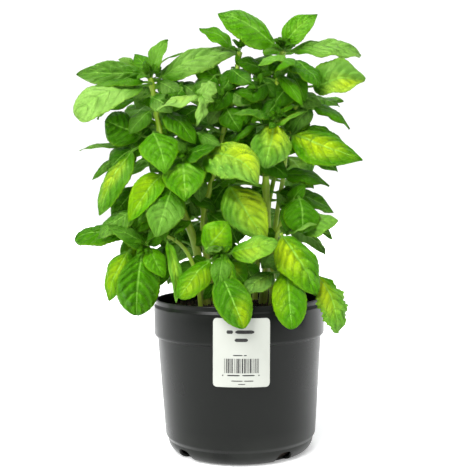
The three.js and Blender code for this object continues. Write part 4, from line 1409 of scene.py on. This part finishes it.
# %% Side leaf rows
FRONT = (0.0, -0.9, 0.4)
UPWARD = (0.0, -0.35, 1.0)
SIDE_ROWS = [
    ("left", [
        (1.0, (-17, 18, 16), (-16, 4, 6), 9, FRONT, dict(pale=0.5, tone=0.7)),
        (0.99, (-1, 8, 5), (-17, 16, 24), 17, FRONT, dict(tone=0.55, roll=0.5)),
        (1.0, (15, 16, 21), (24, 2, 5), 6, UPWARD, dict(tone=0.5)),
        (0.98, (-4, -12, 0), (-59, -14, -10), 13, UPWARD, dict(tone=0.35, roll=1.3, pillow=0.2, pale=0.15)),
        (0.87, (-6, -7, -1), (-17, -14, -21), 17, 0.3),
        (0.66, (17, -15, 5), (28, -20, 9), 19, (0.1, -0.8, 0.6), dict(tone=0.25, pale=0.12)),
        (0.67, (16, -17, 4), (-12, -10, 11), 9, FRONT, dict(tone=0.3, pale=0.15)),
        (0.67, (18, -19, 5), (-6, -12, 11), 9, FRONT, dict(tone=0.35, pale=0.15)),
        (0.77, (-38, 8, -8), (-39, -6, -3), 11, (0.0, -0.5, 1.0), dict(tone=0.5, pale=0.4, roll=0.3)),
        (0.73, (-44, 10, -9), (-24, -4, -21), 12, (-0.5, -0.7, 0.4), dict(tone=0.3)),
        (0.55, (-13, -6, -4), (-26, -16, -29), 22, (-0.4, -0.8, 0.4), dict(tone=0.35, pale=0.1)),
        (0.52, (-15, -22, -6), (4, -16, -31), 21, FRONT, dict(tone=0.4, pale=0.12)),
    ]),
    ("left_low", [
        (0.98, (2, 0, -1), (-32, -20, 21), 19, (0.1, -0.8, 0.6), dict(tone=0.3, pale=0.15)),
        (0.97, (4, -7, -4), (14, -16, -25), 19, (0.3, -0.9, 0.2), dict(tone=0.7, roll=0.4)),
        (0.96, (0, -3, 0), (18, -10, 14), 15, FRONT, dict(tone=0.35, pale=0.1)),
        (
            0.81, (4, -18, -5), (9, -22, -51), 11, (0.4, -0.8, 0.2),
            dict(tone=0.7, yellow=0.4, wave=0.2, fold=0.3),
        ),
        (0.73, (-7, 3, -5), (-4, -8, -20), 10, 0.3),
    ]),
    ("centre_left", [
        (0.81, (-23, -21, 7), (-43, -24, -15), 20, UPWARD, dict(tone=0.8, pale=0.8, yellow=0.3, wave=0.2)),
        (0.79, (-29, -27, 8), (18, -14, 12), 20, FRONT, dict(tone=0.7, pale=0.7, wave=0.3, waves=3)),
        (0.82, (-22, -29, 6), (-8, -18, -32), 12, (0.7, -0.7, 0.2), dict(tone=0.7, pale=0.7, wave=0.3)),
        (0.67, (-19, -30, 6), (19, -12, -12), 13, FRONT, dict(tone=0.3, pale=0.2, pillow=0.15)),
        (0.52, (-10, -14, 4), (1, -10, -22), 14, 0.2), (0.39, (-8, 0, 2), (-3, -4, 14), 8, 0.2),
        (0.93, (-5, -4, 1), (18, -20, -16), 19, 0.25),
    ]),
    ("centre_right", [
        (0.3, (-28, -13, 1), (-8, -8, 20), 15, 0.15),
        (0.71, (14, -22, -3), (-16, -32, -34), 14, (0.8, -0.6, 0.2), dict(tone=0.4, pale=0.35, roll=0.4)),
        (1.0, (1, 5, 2), (-21, -24, -5), 10, UPWARD, dict(tone=0.4)),
        (1.0, (3, 1, 2), (8, -14, 3), 9, UPWARD, dict(tone=0.45)),
        (1.0, (1, 6, 7), (-8, -14, 3), 7, UPWARD, dict(tone=0.4)),
        (0.91, (0, -14, -1), (18, -30, -30), 13, (-0.3, -0.9, 0.4), dict(tone=0.6, roll=0.9)),
        (0.94, (9, -7, -3), (13, -18, -30), 19, 0.4), (0.87, (-10, -5, 3), (-23, -18, -20), 21, 0.2),
        (0.92, (-16, 6, 5), (-24, -14, 6), 17, FRONT, dict(tone=0.3, teeth=0.1)),
        (0.83, (-12, -10, 1), (-24, -18, 2), 15, 0.3),
        (0.76, (-2, -24, -2), (-34, -16, 3), 19, UPWARD, dict(tone=0.3, pale=0.2, pillow=0.15, teeth=0.12)),
    ]),
    ("right", [
        (0.68, (-22, -15, 1), (23, -12, -17), 19, 0.2),
        (0.81, (-14, -24, 3), (29, -10, 13), 14, UPWARD, dict(tone=0.5, yellow=0.4, teeth=0.1)),
        (0.85, (-18, -12, 4), (23, -10, 10), 15, UPWARD, dict(tone=0.4, yellow=0.3)),
        (1.0, (14, 2, 1), (-19, -22, -26), 17, 0.3),
    ]),
    ("right_low", [
        (1.0, (2, 3, 6), (15, -10, 22), 15, 0.35), (1.0, (2, 5, 2), (-11, -6, 19), 9, 0.25),
        (1.0, (9, -3, 4), (17, -12, -3), 12, UPWARD, dict(tone=0.25, teeth=0.14)),
        (1.0, (15, -1, -8), (26, -4, -11), 12, UPWARD, dict(tone=0.5, pale=0.3)),
        (0.73, (9, -17, -4), (22, -14, 9), 12, UPWARD, dict(tone=0.5, pale=0.45)),
        (0.92, (-2, 4, 1), (-9, -4, -3), 7, 0.2),
    ]),
    ("front_left", [
        (1.0, (-18, 8, 14), (19, -18, -12), 15, UPWARD, dict(tone=0.75, yellow=0.3)),
        (1.0, (-2, -8, 7), (-14, -10, -4), 12, UPWARD, dict(tone=0.15)),
        (0.99, (-2, -18, -2), (-4, -18, -25), 17, FRONT, dict(tone=0.4, pale=0.2, pillow=0.12)),
        (1.0, (1, -14, -1), (8, -18, -28), 14, (0.4, -0.8, 0.3), dict(tone=0.6, yellow=0.3)),
    ]),
    ("front_right", [
        (0.71, (2, 14, -2), (-19, -14, 1), 19, 0.15),
    ]),
    ("left", [
        (0.8, (-8, 10, -2), (-31, -14, -24), 28, 0.3), (0.76, (-27, 12, -5), (-25, -10, -22), 24, 0.3),
        (0.96, (27, 6, 5), (-20, -12, -16), 22, 0.2), (0.9, (19, 9, 4), (-22, -12, -17), 26, 0.15),
        (0.94, (5, 14, 0), (-21, -13, -6), 21, 0.3), (0.71, (6, 16, 2), (-20, -12, -21), 24, 0.2),
        (0.61, (-30, 1, -9), (-25, -14, -31), 24, FRONT, dict(tone=0.4, pale=0.1)),
        (0.6, (-1, 7, 1), (-17, -20, -22), 32, FRONT, dict(tone=0.4, pillow=0.1)),
        (0.58, (-24, 11, -6), (-23, -12, -24), 29, 0.35), (0.58, (20, 15, 7), (-15, -10, -22), 24, 0.15),
        (0.52, (-24, -6, -6), (-15, -18, -24), 26, FRONT, dict(tone=0.45, pillow=0.1)),
    ]),
    ("centre_left", [
        (0.85, (-34, -4, 9), (8, -14, -24), 22, 0.25), (0.9, (-20, -4, 3), (-17, -12, -20), 22, 0.25),
        (0.77, (-26, -9, 6), (-20, -12, -15), 23, 0.2), (0.7, (-17, -2, 6), (-18, -10, -21), 24, 0.15),
        (0.84, (-9, -3, 4), (-17, -10, -19), 23, 0.3), (0.93, (-1, 0, 1), (-13, -12, -20), 21, 0.2),
        (0.64, (-5, 1, 0), (-17, -12, -21), 22, 0.25), (0.52, (14, 10, -3), (-15, -14, -24), 24, 0.15),
        (0.43, (-16, 4, 2), (-11, -10, -19), 16, 0.3), (0.35, (10, 6, 3), (-17, -16, -18), 20, 0.35),
    ]),
    ("centre_right", [
        (0.76, (-42, -8, 9), (13, -12, -23), 22, 0.3), (0.78, (-21, -5, 4), (-21, -12, -19), 22, 0.25),
        (0.84, (-12, 0, 4), (18, -12, -16), 22, 0.2), (0.64, (-5, 3, 0), (-16, -10, -21), 19, 0.15),
        (0.44, (-25, 3, -1), (-13, -14, -24), 21, 0.25),
    ]),
    ("right", [
        (0.82, (9, 0, -2), (16, -12, -19), 20, 0.2), (0.96, (-4, 5, 0), (24, -8, -10), 19, 0.35),
    ]),
    ("right_low", [
        (0.87, (11, 9, -5), (-14, -10, -19), 16, 0.2),
    ]),
    ("left_low", [
        (0.77, (4, 19, 9), (-12, -16, -16), 22, 0.35),
        (1.0, (-14, 22, 8), (-15, -18, -23), 24, FRONT, dict(tone=0.4, yellow=0.3)),
    ]),
    ("front_right", [
        (1.0, (-16, 36, 11), (14, -18, -16), 19, 0.2), (0.91, (-1, 33, -6), (-18, -18, -19), 20, 0.2),
    ]),
    ("front_left", [
        (0.82, (-28, 30, 3), (-14, -20, -15), 22, 0.3), (0.8, (13, 30, 4), (14, -24, -20), 22, 0.2),
    ]),
    ("left", [
        (0.56, (-2, -22, -1), (-13, -20, -42), 33, FRONT, dict(tone=0.45, pillow=0.1)),
        (0.56, (-24, 0, -7), (-27, -16, -36), 28, FRONT, dict(tone=0.4, pale=0.1)),
        (0.75, (-27, -6, -6), (-20, -12, -18), 22, 0.2), (0.81, (-9, 2, -1), (-20, -6, -20), 22, 0.2),
        (0.93, (26, -3, 5), (-14, -10, -21), 21, 0.3), (0.92, (-1, -11, 0), (19, -10, -14), 19, 0.25),
    ]),
    ("centre_left", [
        (0.67, (-23, -14, 7), (-16, -14, -22), 24, 0.2),
    ]),
    ("centre_right", [
        (0.89, (13, 0, -2), (-19, -12, -23), 26, 0.25), (0.83, (5, -8, -2), (-17, -14, -23), 22, 0.15),
    ]),
    ("right", [
        (0.9, (10, 0, -3), (-20, -14, -17), 24, 0.3),
    ]),
    ("centre_left", [
        (0.41, (5, -4, -1), (20, -12, -17), 21, 0.3),
    ]),
    ("front_left", [
        (0.86, (0, 11, 1), (18, -22, -18), 22, FRONT, dict(tone=0.4, yellow=0.3)),
    ]),
    ("left_low", [
        (1.0, (-22, 12, 0), (-13, -14, -28), 22, FRONT, dict(tone=0.45, yellow=0.4)),
        (1.0, (5, 8, -15), (-12, -14, -33), 24, 0.3),
    ]),
    ("right_low", [
        (0.95, (-1, -6, 0), (-8, -14, -29), 20, 0.25),
    ]),
    ("left", [
        (0.99, (6, 4, 0), (23, -12, -15), 19, 0.25), (0.97, (27, 10, 3), (21, -12, -15), 18, 0.2),
    ]),
    ("centre_left", [
        (0.87, (-26, -2, 6), (15, -14, -22), 18, 0.3), (0.86, (-3, -4, 2), (-15, -12, -21), 18, 0.2),
    ]),
    ("centre_right", [
        (0.82, (-40, -2, 9), (18, -12, -14), 17, 0.25), (0.89, (-15, 4, 4), (12, -14, -20), 15, 0.2),
    ]),
    ("left", [
        (0.98, (-5, 12, -1), (-10, -12, -22), 17, 0.3),
    ]),
    ("centre_left", [
        (0.81, (-6, 1, 0), (-15, -12, -19), 18, 0.25), (0.7, (-26, 0, 6), (-14, -14, -19), 20, 0.2),
        (0.67, (-12, -2, 2), (13, -12, -21), 19, 0.3),
    ]),
    ("left", [
        (0.63, (-13, 11, -4), (-8, -14, -19), 19, 0.3),
    ]),
    ("centre_left", [
        (0.57, (-6, 1, 1), (-13, -16, -17), 16, 0.2),
    ]),
    ("back_left", [
        (0.17, (-22, 14, 8), (-30, 24, -10), 30, (-0.4, 0.7, 0.6), dict(tone=0.3)),
        (0.22, (6, 24, 10), (10, 34, -14), 32, (0.1, 0.8, 0.6), dict(tone=0.35)),
        (0.45, (-26, 4, 8), (-44, 8, -26), 34, (-0.7, 0.3, 0.6), dict(tone=0.4)),
        (0.5, (14, 20, 8), (24, 34, -22), 34, (0.3, 0.8, 0.6), dict(tone=0.45, yellow=0.4)),
        (0.7, (-8, 20, 8), (-20, 38, -18), 36, (-0.2, 0.7, 0.7), dict(tone=0.5)),
        (0.85, (22, 8, 8), (38, 24, -6), 32, (0.2, 0.4, 0.9), dict(tone=0.5)),
        (0.95, (-20, 2, 8), (-40, 14, 2), 30, (-0.3, 0.3, 0.9), dict(tone=0.65)),
    ]),
    ("back_right", [
        (0.17, (22, 14, 8), (30, 26, -10), 30, (0.4, 0.7, 0.6), dict(tone=0.35)),
        (0.24, (-6, 24, 10), (-8, 34, -14), 32, (-0.1, 0.8, 0.6), dict(tone=0.3)),
        (0.45, (26, 2, 8), (42, 2, -28), 34, (0.7, 0.2, 0.7), dict(tone=0.45)),
        (0.55, (-16, 20, 8), (-26, 32, -20), 34, (-0.3, 0.8, 0.6), dict(tone=0.4)),
        (0.7, (10, 20, 8), (22, 36, -20), 36, (0.2, 0.7, 0.7), dict(tone=0.5, yellow=0.5)),
        (0.85, (-20, 8, 8), (-36, 22, -6), 32, (-0.2, 0.4, 0.9), dict(tone=0.5)),
        (0.95, (20, 0, 8), (38, 10, 4), 30, (0.3, 0.3, 0.9), dict(tone=0.65)),
    ]),
    ("right", [
        (0.35, (20, 14, 8), (34, 18, -24), 32, (0.6, 0.4, 0.6), dict(tone=0.35)),
    ]),
    ("left", [
        (0.3, (-18, 16, 8), (-34, 20, -24), 32, (-0.6, 0.4, 0.6), dict(tone=0.35)),
    ]),
]
SIDE_LEAVES = []
for stem, rows in SIDE_ROWS:
    for share, stalk, blade, width, *own in rows:
        face, form = own if len(own) == 2 else (FRONT, {"tone": own[0]})
        SIDE_LEAVES.append((stem, share, stalk, blade, width, face, form))
print(len(SIDE_LEAVES), "side leaves")

# %% Grow the side leaves
SIDE_ARCH = 0.14
SIDE_FULLNESS = 1.14
SIDE_ALONG = 26
SIDE_ACROSS = 21


def point_on_stem(stem, share):
    """The point of a stem's middle line at a share of its length."""
    points = [point for point, radius in stem_lines[stem]]
    stretches = [(b - a).length for a, b in zip(points, points[1:])]
    left = share * sum(stretches)
    for a, b, stretch in zip(points, points[1:], stretches):
        if left <= stretch:
            break
        left -= stretch
    return a + (b - a) * min(1.0, left / stretch)


def side_frame(stem, share, stalk, blade, width, face):
    """The frame of a side leaf from one row."""
    root = point_on_stem(stem, share)
    neck = root + Vector(stalk) * MM
    blade_vector = Vector(blade) * MM
    up = Vector(face)
    up -= blade_vector * up.dot(blade_vector) / blade_vector.length_squared
    up.normalize()
    middle = neck + blade_vector / 2 + up * blade_vector.length * SIDE_ARCH
    return LeafFrame(root, neck, middle, neck + blade_vector, up, width * SIDE_FULLNESS * MM)


side_meshes = {}
for stem in stem_lines:
    rows = []
    for order, (owner, share, stalk, blade, width, face, own) in enumerate(SIDE_LEAVES):
        if owner == stem:
            form = {**chance_form(random.Random(500 + order)), **own}
            rows.append((side_frame(stem, share, stalk, blade, width, face), form, 500 + order))
    if rows:
        mesh = leaves_mesh(f"{stem}_side_leaves", rows, SIDE_ALONG, SIDE_ACROSS)
        side_meshes[stem] = mesh
        finish_piece(f"{stem}_side_leaves", mesh, leaf_skin, "leaf_green")
print(f"side leaves on {len(side_meshes)} stems, {sum(len(m.polygons) for m in side_meshes.values())} faces")

# %% [markdown]
# ## Young leaves
#
# The crown is filled by many young leaves. They come in crossed pairs along each stem, with a bud in
# every axil, and in a tight whorl at every tip. They repeat, so a few sample leaves are made once, and
# Geometry Nodes put a copy on each point of a cloud. A point carries its turn, its size, which sample
# it takes, and a shade that darkens or brightens it. On the pairs along the stems the shade is mostly
# darker, which partly paints in the shade inside the crown. A leaf is left out where it would cut through
# a larger one, hide a large blade from the front, or close one of the gaps between the stems.

# %% Sample leaves
SAMPLE_LENGTH = 50 * MM
YOUNG_SAMPLES = 6
BUD_SAMPLES = 3


def sample_leaf(name, stalk, width, roll, fold, hook, pillow, along, across, stalk_steps, seed):
    """A leaf from the origin along +X with its upper side up. Stalk and width are shares."""
    leaf = LeafFrame(
        (0, 0, 0), (stalk * SAMPLE_LENGTH, 0, 0), (0.6 * SAMPLE_LENGTH, 0, 0.17 * SAMPLE_LENGTH),
        (SAMPLE_LENGTH, 0, -0.04 * SAMPLE_LENGTH), (0, 0, 1), width * SAMPLE_LENGTH,
    )
    form = {
        "roll": roll, "fold": fold, "hook": hook, "pillow": pillow, "twist": 0.25 * (-1) ** seed,
        "wave": 0.1,
    }
    mesh = leaves_mesh(name, [(leaf, form, seed)], along, across, stalk_steps)
    sample = bpy.data.objects.new(name, mesh)
    sample_shelf.objects.link(sample)


sample_shelf = bpy.data.collections.new("sample leaves")
bpy.context.scene.collection.children.link(sample_shelf)
chance = random.Random(77)
for k in range(YOUNG_SAMPLES):
    sample_leaf(
        f"a_young_{k}", 0.26, chance.uniform(0.42, 0.54), chance.uniform(0.3, 0.9), chance.uniform(0.0, 0.25),
        chance.uniform(0.0, 0.25), chance.uniform(0.06, 0.12), 12, 9, 3, 700 + k,
    )
for k in range(BUD_SAMPLES):
    sample_leaf(
        f"b_bud_{k}", 0.1, chance.uniform(0.36, 0.46), chance.uniform(-0.6, -0.2), 0.3,
        chance.uniform(0.1, 0.3), 0.05, 7, 5, 2, 720 + k,
    )

# %% Placing tree
placing_tree, given, made = geometry_tree(
    "placed leaves", [("Samples", "NodeSocketCollection"), ("Finish", MATERIAL)],
)
own_turn = add_node(
    placing_tree, "GeometryNodeInputNamedAttribute", {"data_type": "FLOAT_VECTOR"}, Name="turn",
)
own_size = add_node(placing_tree, "GeometryNodeInputNamedAttribute", {"data_type": "FLOAT"}, Name="size")
own_kind = add_node(placing_tree, "GeometryNodeInputNamedAttribute", {"data_type": "INT"}, Name="kind")
as_rotation = add_node(placing_tree, "FunctionNodeEulerToRotation", Euler=own_turn.outputs[0])
samples = add_node(
    placing_tree, "GeometryNodeCollectionInfo", Collection=given["Samples"], Separate_Children=True,
    Reset_Children=True,
)
placed = add_node(
    placing_tree, "GeometryNodeInstanceOnPoints",
    Points=given["Geometry"], Instance=samples.outputs[0], Pick_Instance=True,
    Instance_Index=own_kind.outputs[0],
    Rotation=as_rotation.outputs[0], Scale=own_size.outputs[0],
)
real = add_node(placing_tree, "GeometryNodeRealizeInstances", Geometry=placed.outputs[0])
painted = add_node(
    placing_tree, "GeometryNodeSetMaterial", Geometry=real.outputs[0], Material=given["Finish"],
)
placing_tree.links.new(painted.outputs[0], made["Geometry"])
print("placing tree has", len(placing_tree.nodes), "nodes")

# %% Where a young leaf may stand
OPEN_GAPS = [  # low x, high x, low z and high z of the gaps that stay open between the stems, in mm
    (-104, -86, 244, 270), (-54, -46, 222, 242), (-33, -24, 230, 252), (29, 44, 222, 262), (47, 60, 258, 276),
    (34, 47, 194, 222), (0, 18, 192, 212), (-76, -61, 176, 206), (-88, -78, 214, 234), (6, 14, 362, 398),
]
HIDES_WITHIN = 70 * MM
BOX_MARGIN = 6 * MM


def joined_tree(meshes):
    """A search tree over the faces of several meshes."""
    corners, faces = [], []
    for mesh in meshes:
        first = len(corners)
        corners += [v.co.copy() for v in mesh.vertices]
        faces += [[first + i for i in face.vertices] for face in mesh.polygons]
    return BVHTree.FromPolygons(corners, faces)


blade_tree = joined_tree([*large_meshes.values(), *side_meshes.values()])


def in_gap(place):
    x, z = place.x / MM, place.z / MM
    return any(low_x < x < high_x and low_z < z < high_z for low_x, high_x, low_z, high_z in OPEN_GAPS)


def may_stand(root, tip):
    """Whether a leaf from root to tip keeps clear of larger leaves, gaps and the plant's outline."""
    along = tip - root
    middle = (root + tip) / 2
    if in_gap(middle) or in_gap(tip):
        return False
    if not all(low + BOX_MARGIN < c < high - BOX_MARGIN for low, c, high in zip(cad_low, tip, cad_high)):
        return False
    if blade_tree.ray_cast(root + along * 0.25, along.normalized(), along.length * 0.8)[0] is not None:
        return False
    towards_back = Vector((0, 1, 0))
    return all(blade_tree.ray_cast(place, towards_back, HIDES_WITHIN)[0] is None for place in (middle, tip))


print("search tree ready")

# %% Pairs, buds and whorls
PAIRS = {  # for each stem: share of its length where pairs start, spacing and leaf length in mm
    "left": (0.40, 8, 54), "centre_left": (0.42, 8, 56), "centre_right": (0.50, 8, 56),
    "right": (0.55, 9, 50),
    "right_low": (0.6, 12, 34), "left_low": (0.6, 12, 30), "front_left": (0.6, 14, 26),
    "front_right": (0.7, 14, 26),
    "back_left": (0.25, 10, 56), "back_right": (0.25, 10, 56),
}
WHORLS = [  # stem, share, offset in mm, direction, number of leaves, length of the largest in mm
    ("left", 1.0, (0, 0, 0), (0.1, -0.4, 1.0), 12, 24),
    ("centre_left", 1.0, (0, 0, 0), (-0.1, -0.3, 1.0), 12, 20),
    ("centre_right", 1.0, (0, 0, 0), (0.0, -0.4, 1.0), 14, 22),
    ("right", 1.0, (0, 0, 0), (0.2, -0.4, 1.0), 12, 20),
    ("right_low", 1.0, (2, 2, 4), (0.1, -0.4, 1.0), 12, 20),
    ("left_low", 0.98, (0, -4, 0), (0.0, -0.8, -0.2), 12, 20),
    ("front_left", 1.0, (-2, -10, 2), (-0.2, -0.8, -0.1), 12, 16),
    ("front_right", 1.0, (0, 0, 0), (0.0, -0.5, 1.0), 8, 14),
    ("back_left", 1.0, (0, 0, 0), (-0.1, 0.3, 1.0), 12, 28),
    ("back_right", 1.0, (0, 0, 0), (0.1, 0.3, 1.0), 12, 28),
    ("left", 0.66, (17, -16, 5), (0.2, -0.8, 0.5), 12, 18),
    ("right", 0.82, (-14, -22, 4), (-0.1, -0.7, 0.7), 12, 20),
    ("centre_right", 0.85, (-14, -10, 4), (-0.3, -0.6, 0.7), 10, 20),
    ("left", 0.88, (12, -12, 2), (0.3, -0.6, 0.6), 10, 20),
    ("right_low", 0.75, (10, -8, 2), (0.5, -0.5, 0.4), 8, 16),
    ("centre_left", 0.8, (-10, -10, 4), (-0.2, -0.6, 0.7), 10, 20),
]
STEM_CLEARANCE = 1.2 * MM
FACES_OUTWARDS = 0.85
MIDDLE_DEPTH = 22 * MM


def add_leaf(rows, root, towards, length, is_bud, shade, chance, must_fit=True):
    """Adds one point to the cloud, if its leaf may stand there."""
    towards = towards.normalized()
    if must_fit and not may_stand(root, root + towards * length):
        return False
    facing = math.copysign(FACES_OUTWARDS, root.y - MIDDLE_DEPTH)
    lean = Vector((chance.uniform(-0.4, 0.4), facing + chance.uniform(-0.4, 0.4), chance.uniform(0.4, 1.0)))
    up = (lean - towards * lean.dot(towards)).normalized()
    turn = Matrix((towards, up.cross(towards), up)).transposed().to_euler()
    kind = YOUNG_SAMPLES + chance.randrange(BUD_SAMPLES) if is_bud else chance.randrange(YOUNG_SAMPLES)
    rows.append((root, tuple(turn), length / SAMPLE_LENGTH, kind, shade))
    return True


def pairs_and_buds(rows, stem, chance):
    """Crossed pairs up one stem, each leaf with a bud in its axil."""
    first, spacing, length = PAIRS[stem]
    total = sum((b[0] - a[0]).length for a, b in zip(stem_lines[stem], stem_lines[stem][1:]))
    count = int(total * (1 - first) / (spacing * MM))
    for pair in range(count):
        share = first + (0.97 - first) * (pair + chance.uniform(0.0, 0.6)) / count
        root = point_on_stem(stem, share)
        azimuth = pair * math.pi / 2 + chance.uniform(-0.5, 0.5)
        for side in (0.0, math.pi):
            turn = azimuth + side + chance.uniform(-0.25, 0.25)
            rise = math.radians(chance.uniform(-40, 40))
            outwards = Vector(
                (math.cos(turn) * math.cos(rise), math.sin(turn) * math.cos(rise), math.sin(rise))
            )
            reach = length * MM * chance.uniform(0.7, 1.2)
            # A random tone, mostly darker, which partly paints in the shade inside the crown.
            shade = chance.uniform(-0.4, 0.15) + 0.15 * share
            start = root + outwards * STEM_CLEARANCE
            for shorter in (1.0, 0.8, 0.6):
                if add_leaf(rows, start, outwards, reach * shorter, False, shade, chance):
                    break
            for _ in range(4):
                spread = Vector(
                    (chance.uniform(-0.5, 0.5), chance.uniform(-0.5, 0.5), chance.uniform(0.3, 1.0))
                )
                add_leaf(
                    rows, start, outwards + spread, chance.uniform(8, 15) * MM, True, shade + 0.1, chance,
                )


def whorl(rows, place, axis, count, largest, chance):
    """Young leaves round a shoot tip: crossed pairs, each smaller and steeper than the one below."""
    axis = Vector(axis).normalized()
    across = axis.orthogonal().normalized()
    over = axis.cross(across)
    for k in range(count):
        share = k / count
        turn = (k // 2) * math.pi / 2 + (k % 2) * math.pi + chance.uniform(-0.3, 0.3)
        rise = math.radians(5 + 70 * share + chance.uniform(-8, 8))
        outwards = (across * math.cos(turn) + over * math.sin(turn)) * math.cos(rise) + axis * math.sin(rise)
        length = largest * MM * (1 - 0.6 * share) * chance.uniform(0.85, 1.15)
        add_leaf(
            rows, place + axis * share * 4 * MM, outwards, length, k >= 6, chance.uniform(-0.25, 0.1),
            chance, k < 4,
        )


print(len(PAIRS), "stems bear pairs,", len(WHORLS), "whorls")

# %% Grow the young leaves


def point_cloud(name, rows):
    """A mesh of loose points that carries each leaf's turn, size, kind and shade."""
    mesh = bpy.data.meshes.new(name)
    mesh.from_pydata([root for root, turn, size, kind, shade in rows], [], [])
    mesh.attributes.new("turn", "FLOAT_VECTOR", "POINT").data.foreach_set(
        "vector", [c for row in rows for c in row[1]],
    )
    mesh.attributes.new("size", "FLOAT", "POINT").data.foreach_set("value", [row[2] for row in rows])
    mesh.attributes.new("kind", "INT", "POINT").data.foreach_set("value", [row[3] for row in rows])
    mesh.attributes.new("shade", "FLOAT", "POINT").data.foreach_set("value", [row[4] for row in rows])
    return mesh


young_total = 0
for order, stem in enumerate(stem_lines):
    chance = random.Random(900 + order)
    rows = []
    pairs_and_buds(rows, stem, chance)
    for owner, share, offset, axis, count, largest in WHORLS:
        if owner == stem:
            place = point_on_stem(stem, share) + Vector(offset) * MM
            whorl(rows, place, axis, count, largest, chance)
    mesh = grown(
        f"{stem}_young_leaves", point_cloud(stem, rows), placing_tree, Samples=sample_shelf,
        Finish=leaf_skin,
    )
    finish_piece(f"{stem}_young_leaves", mesh, leaf_skin, "leaf_green")
    young_total += len(rows)
    print(f"{stem}: {len(rows)} young leaves, {len(mesh.polygons)} faces")
for sample in list(sample_shelf.objects):
    bpy.data.objects.remove(sample)
bpy.data.collections.remove(sample_shelf)
print(young_total, "young leaves in all")
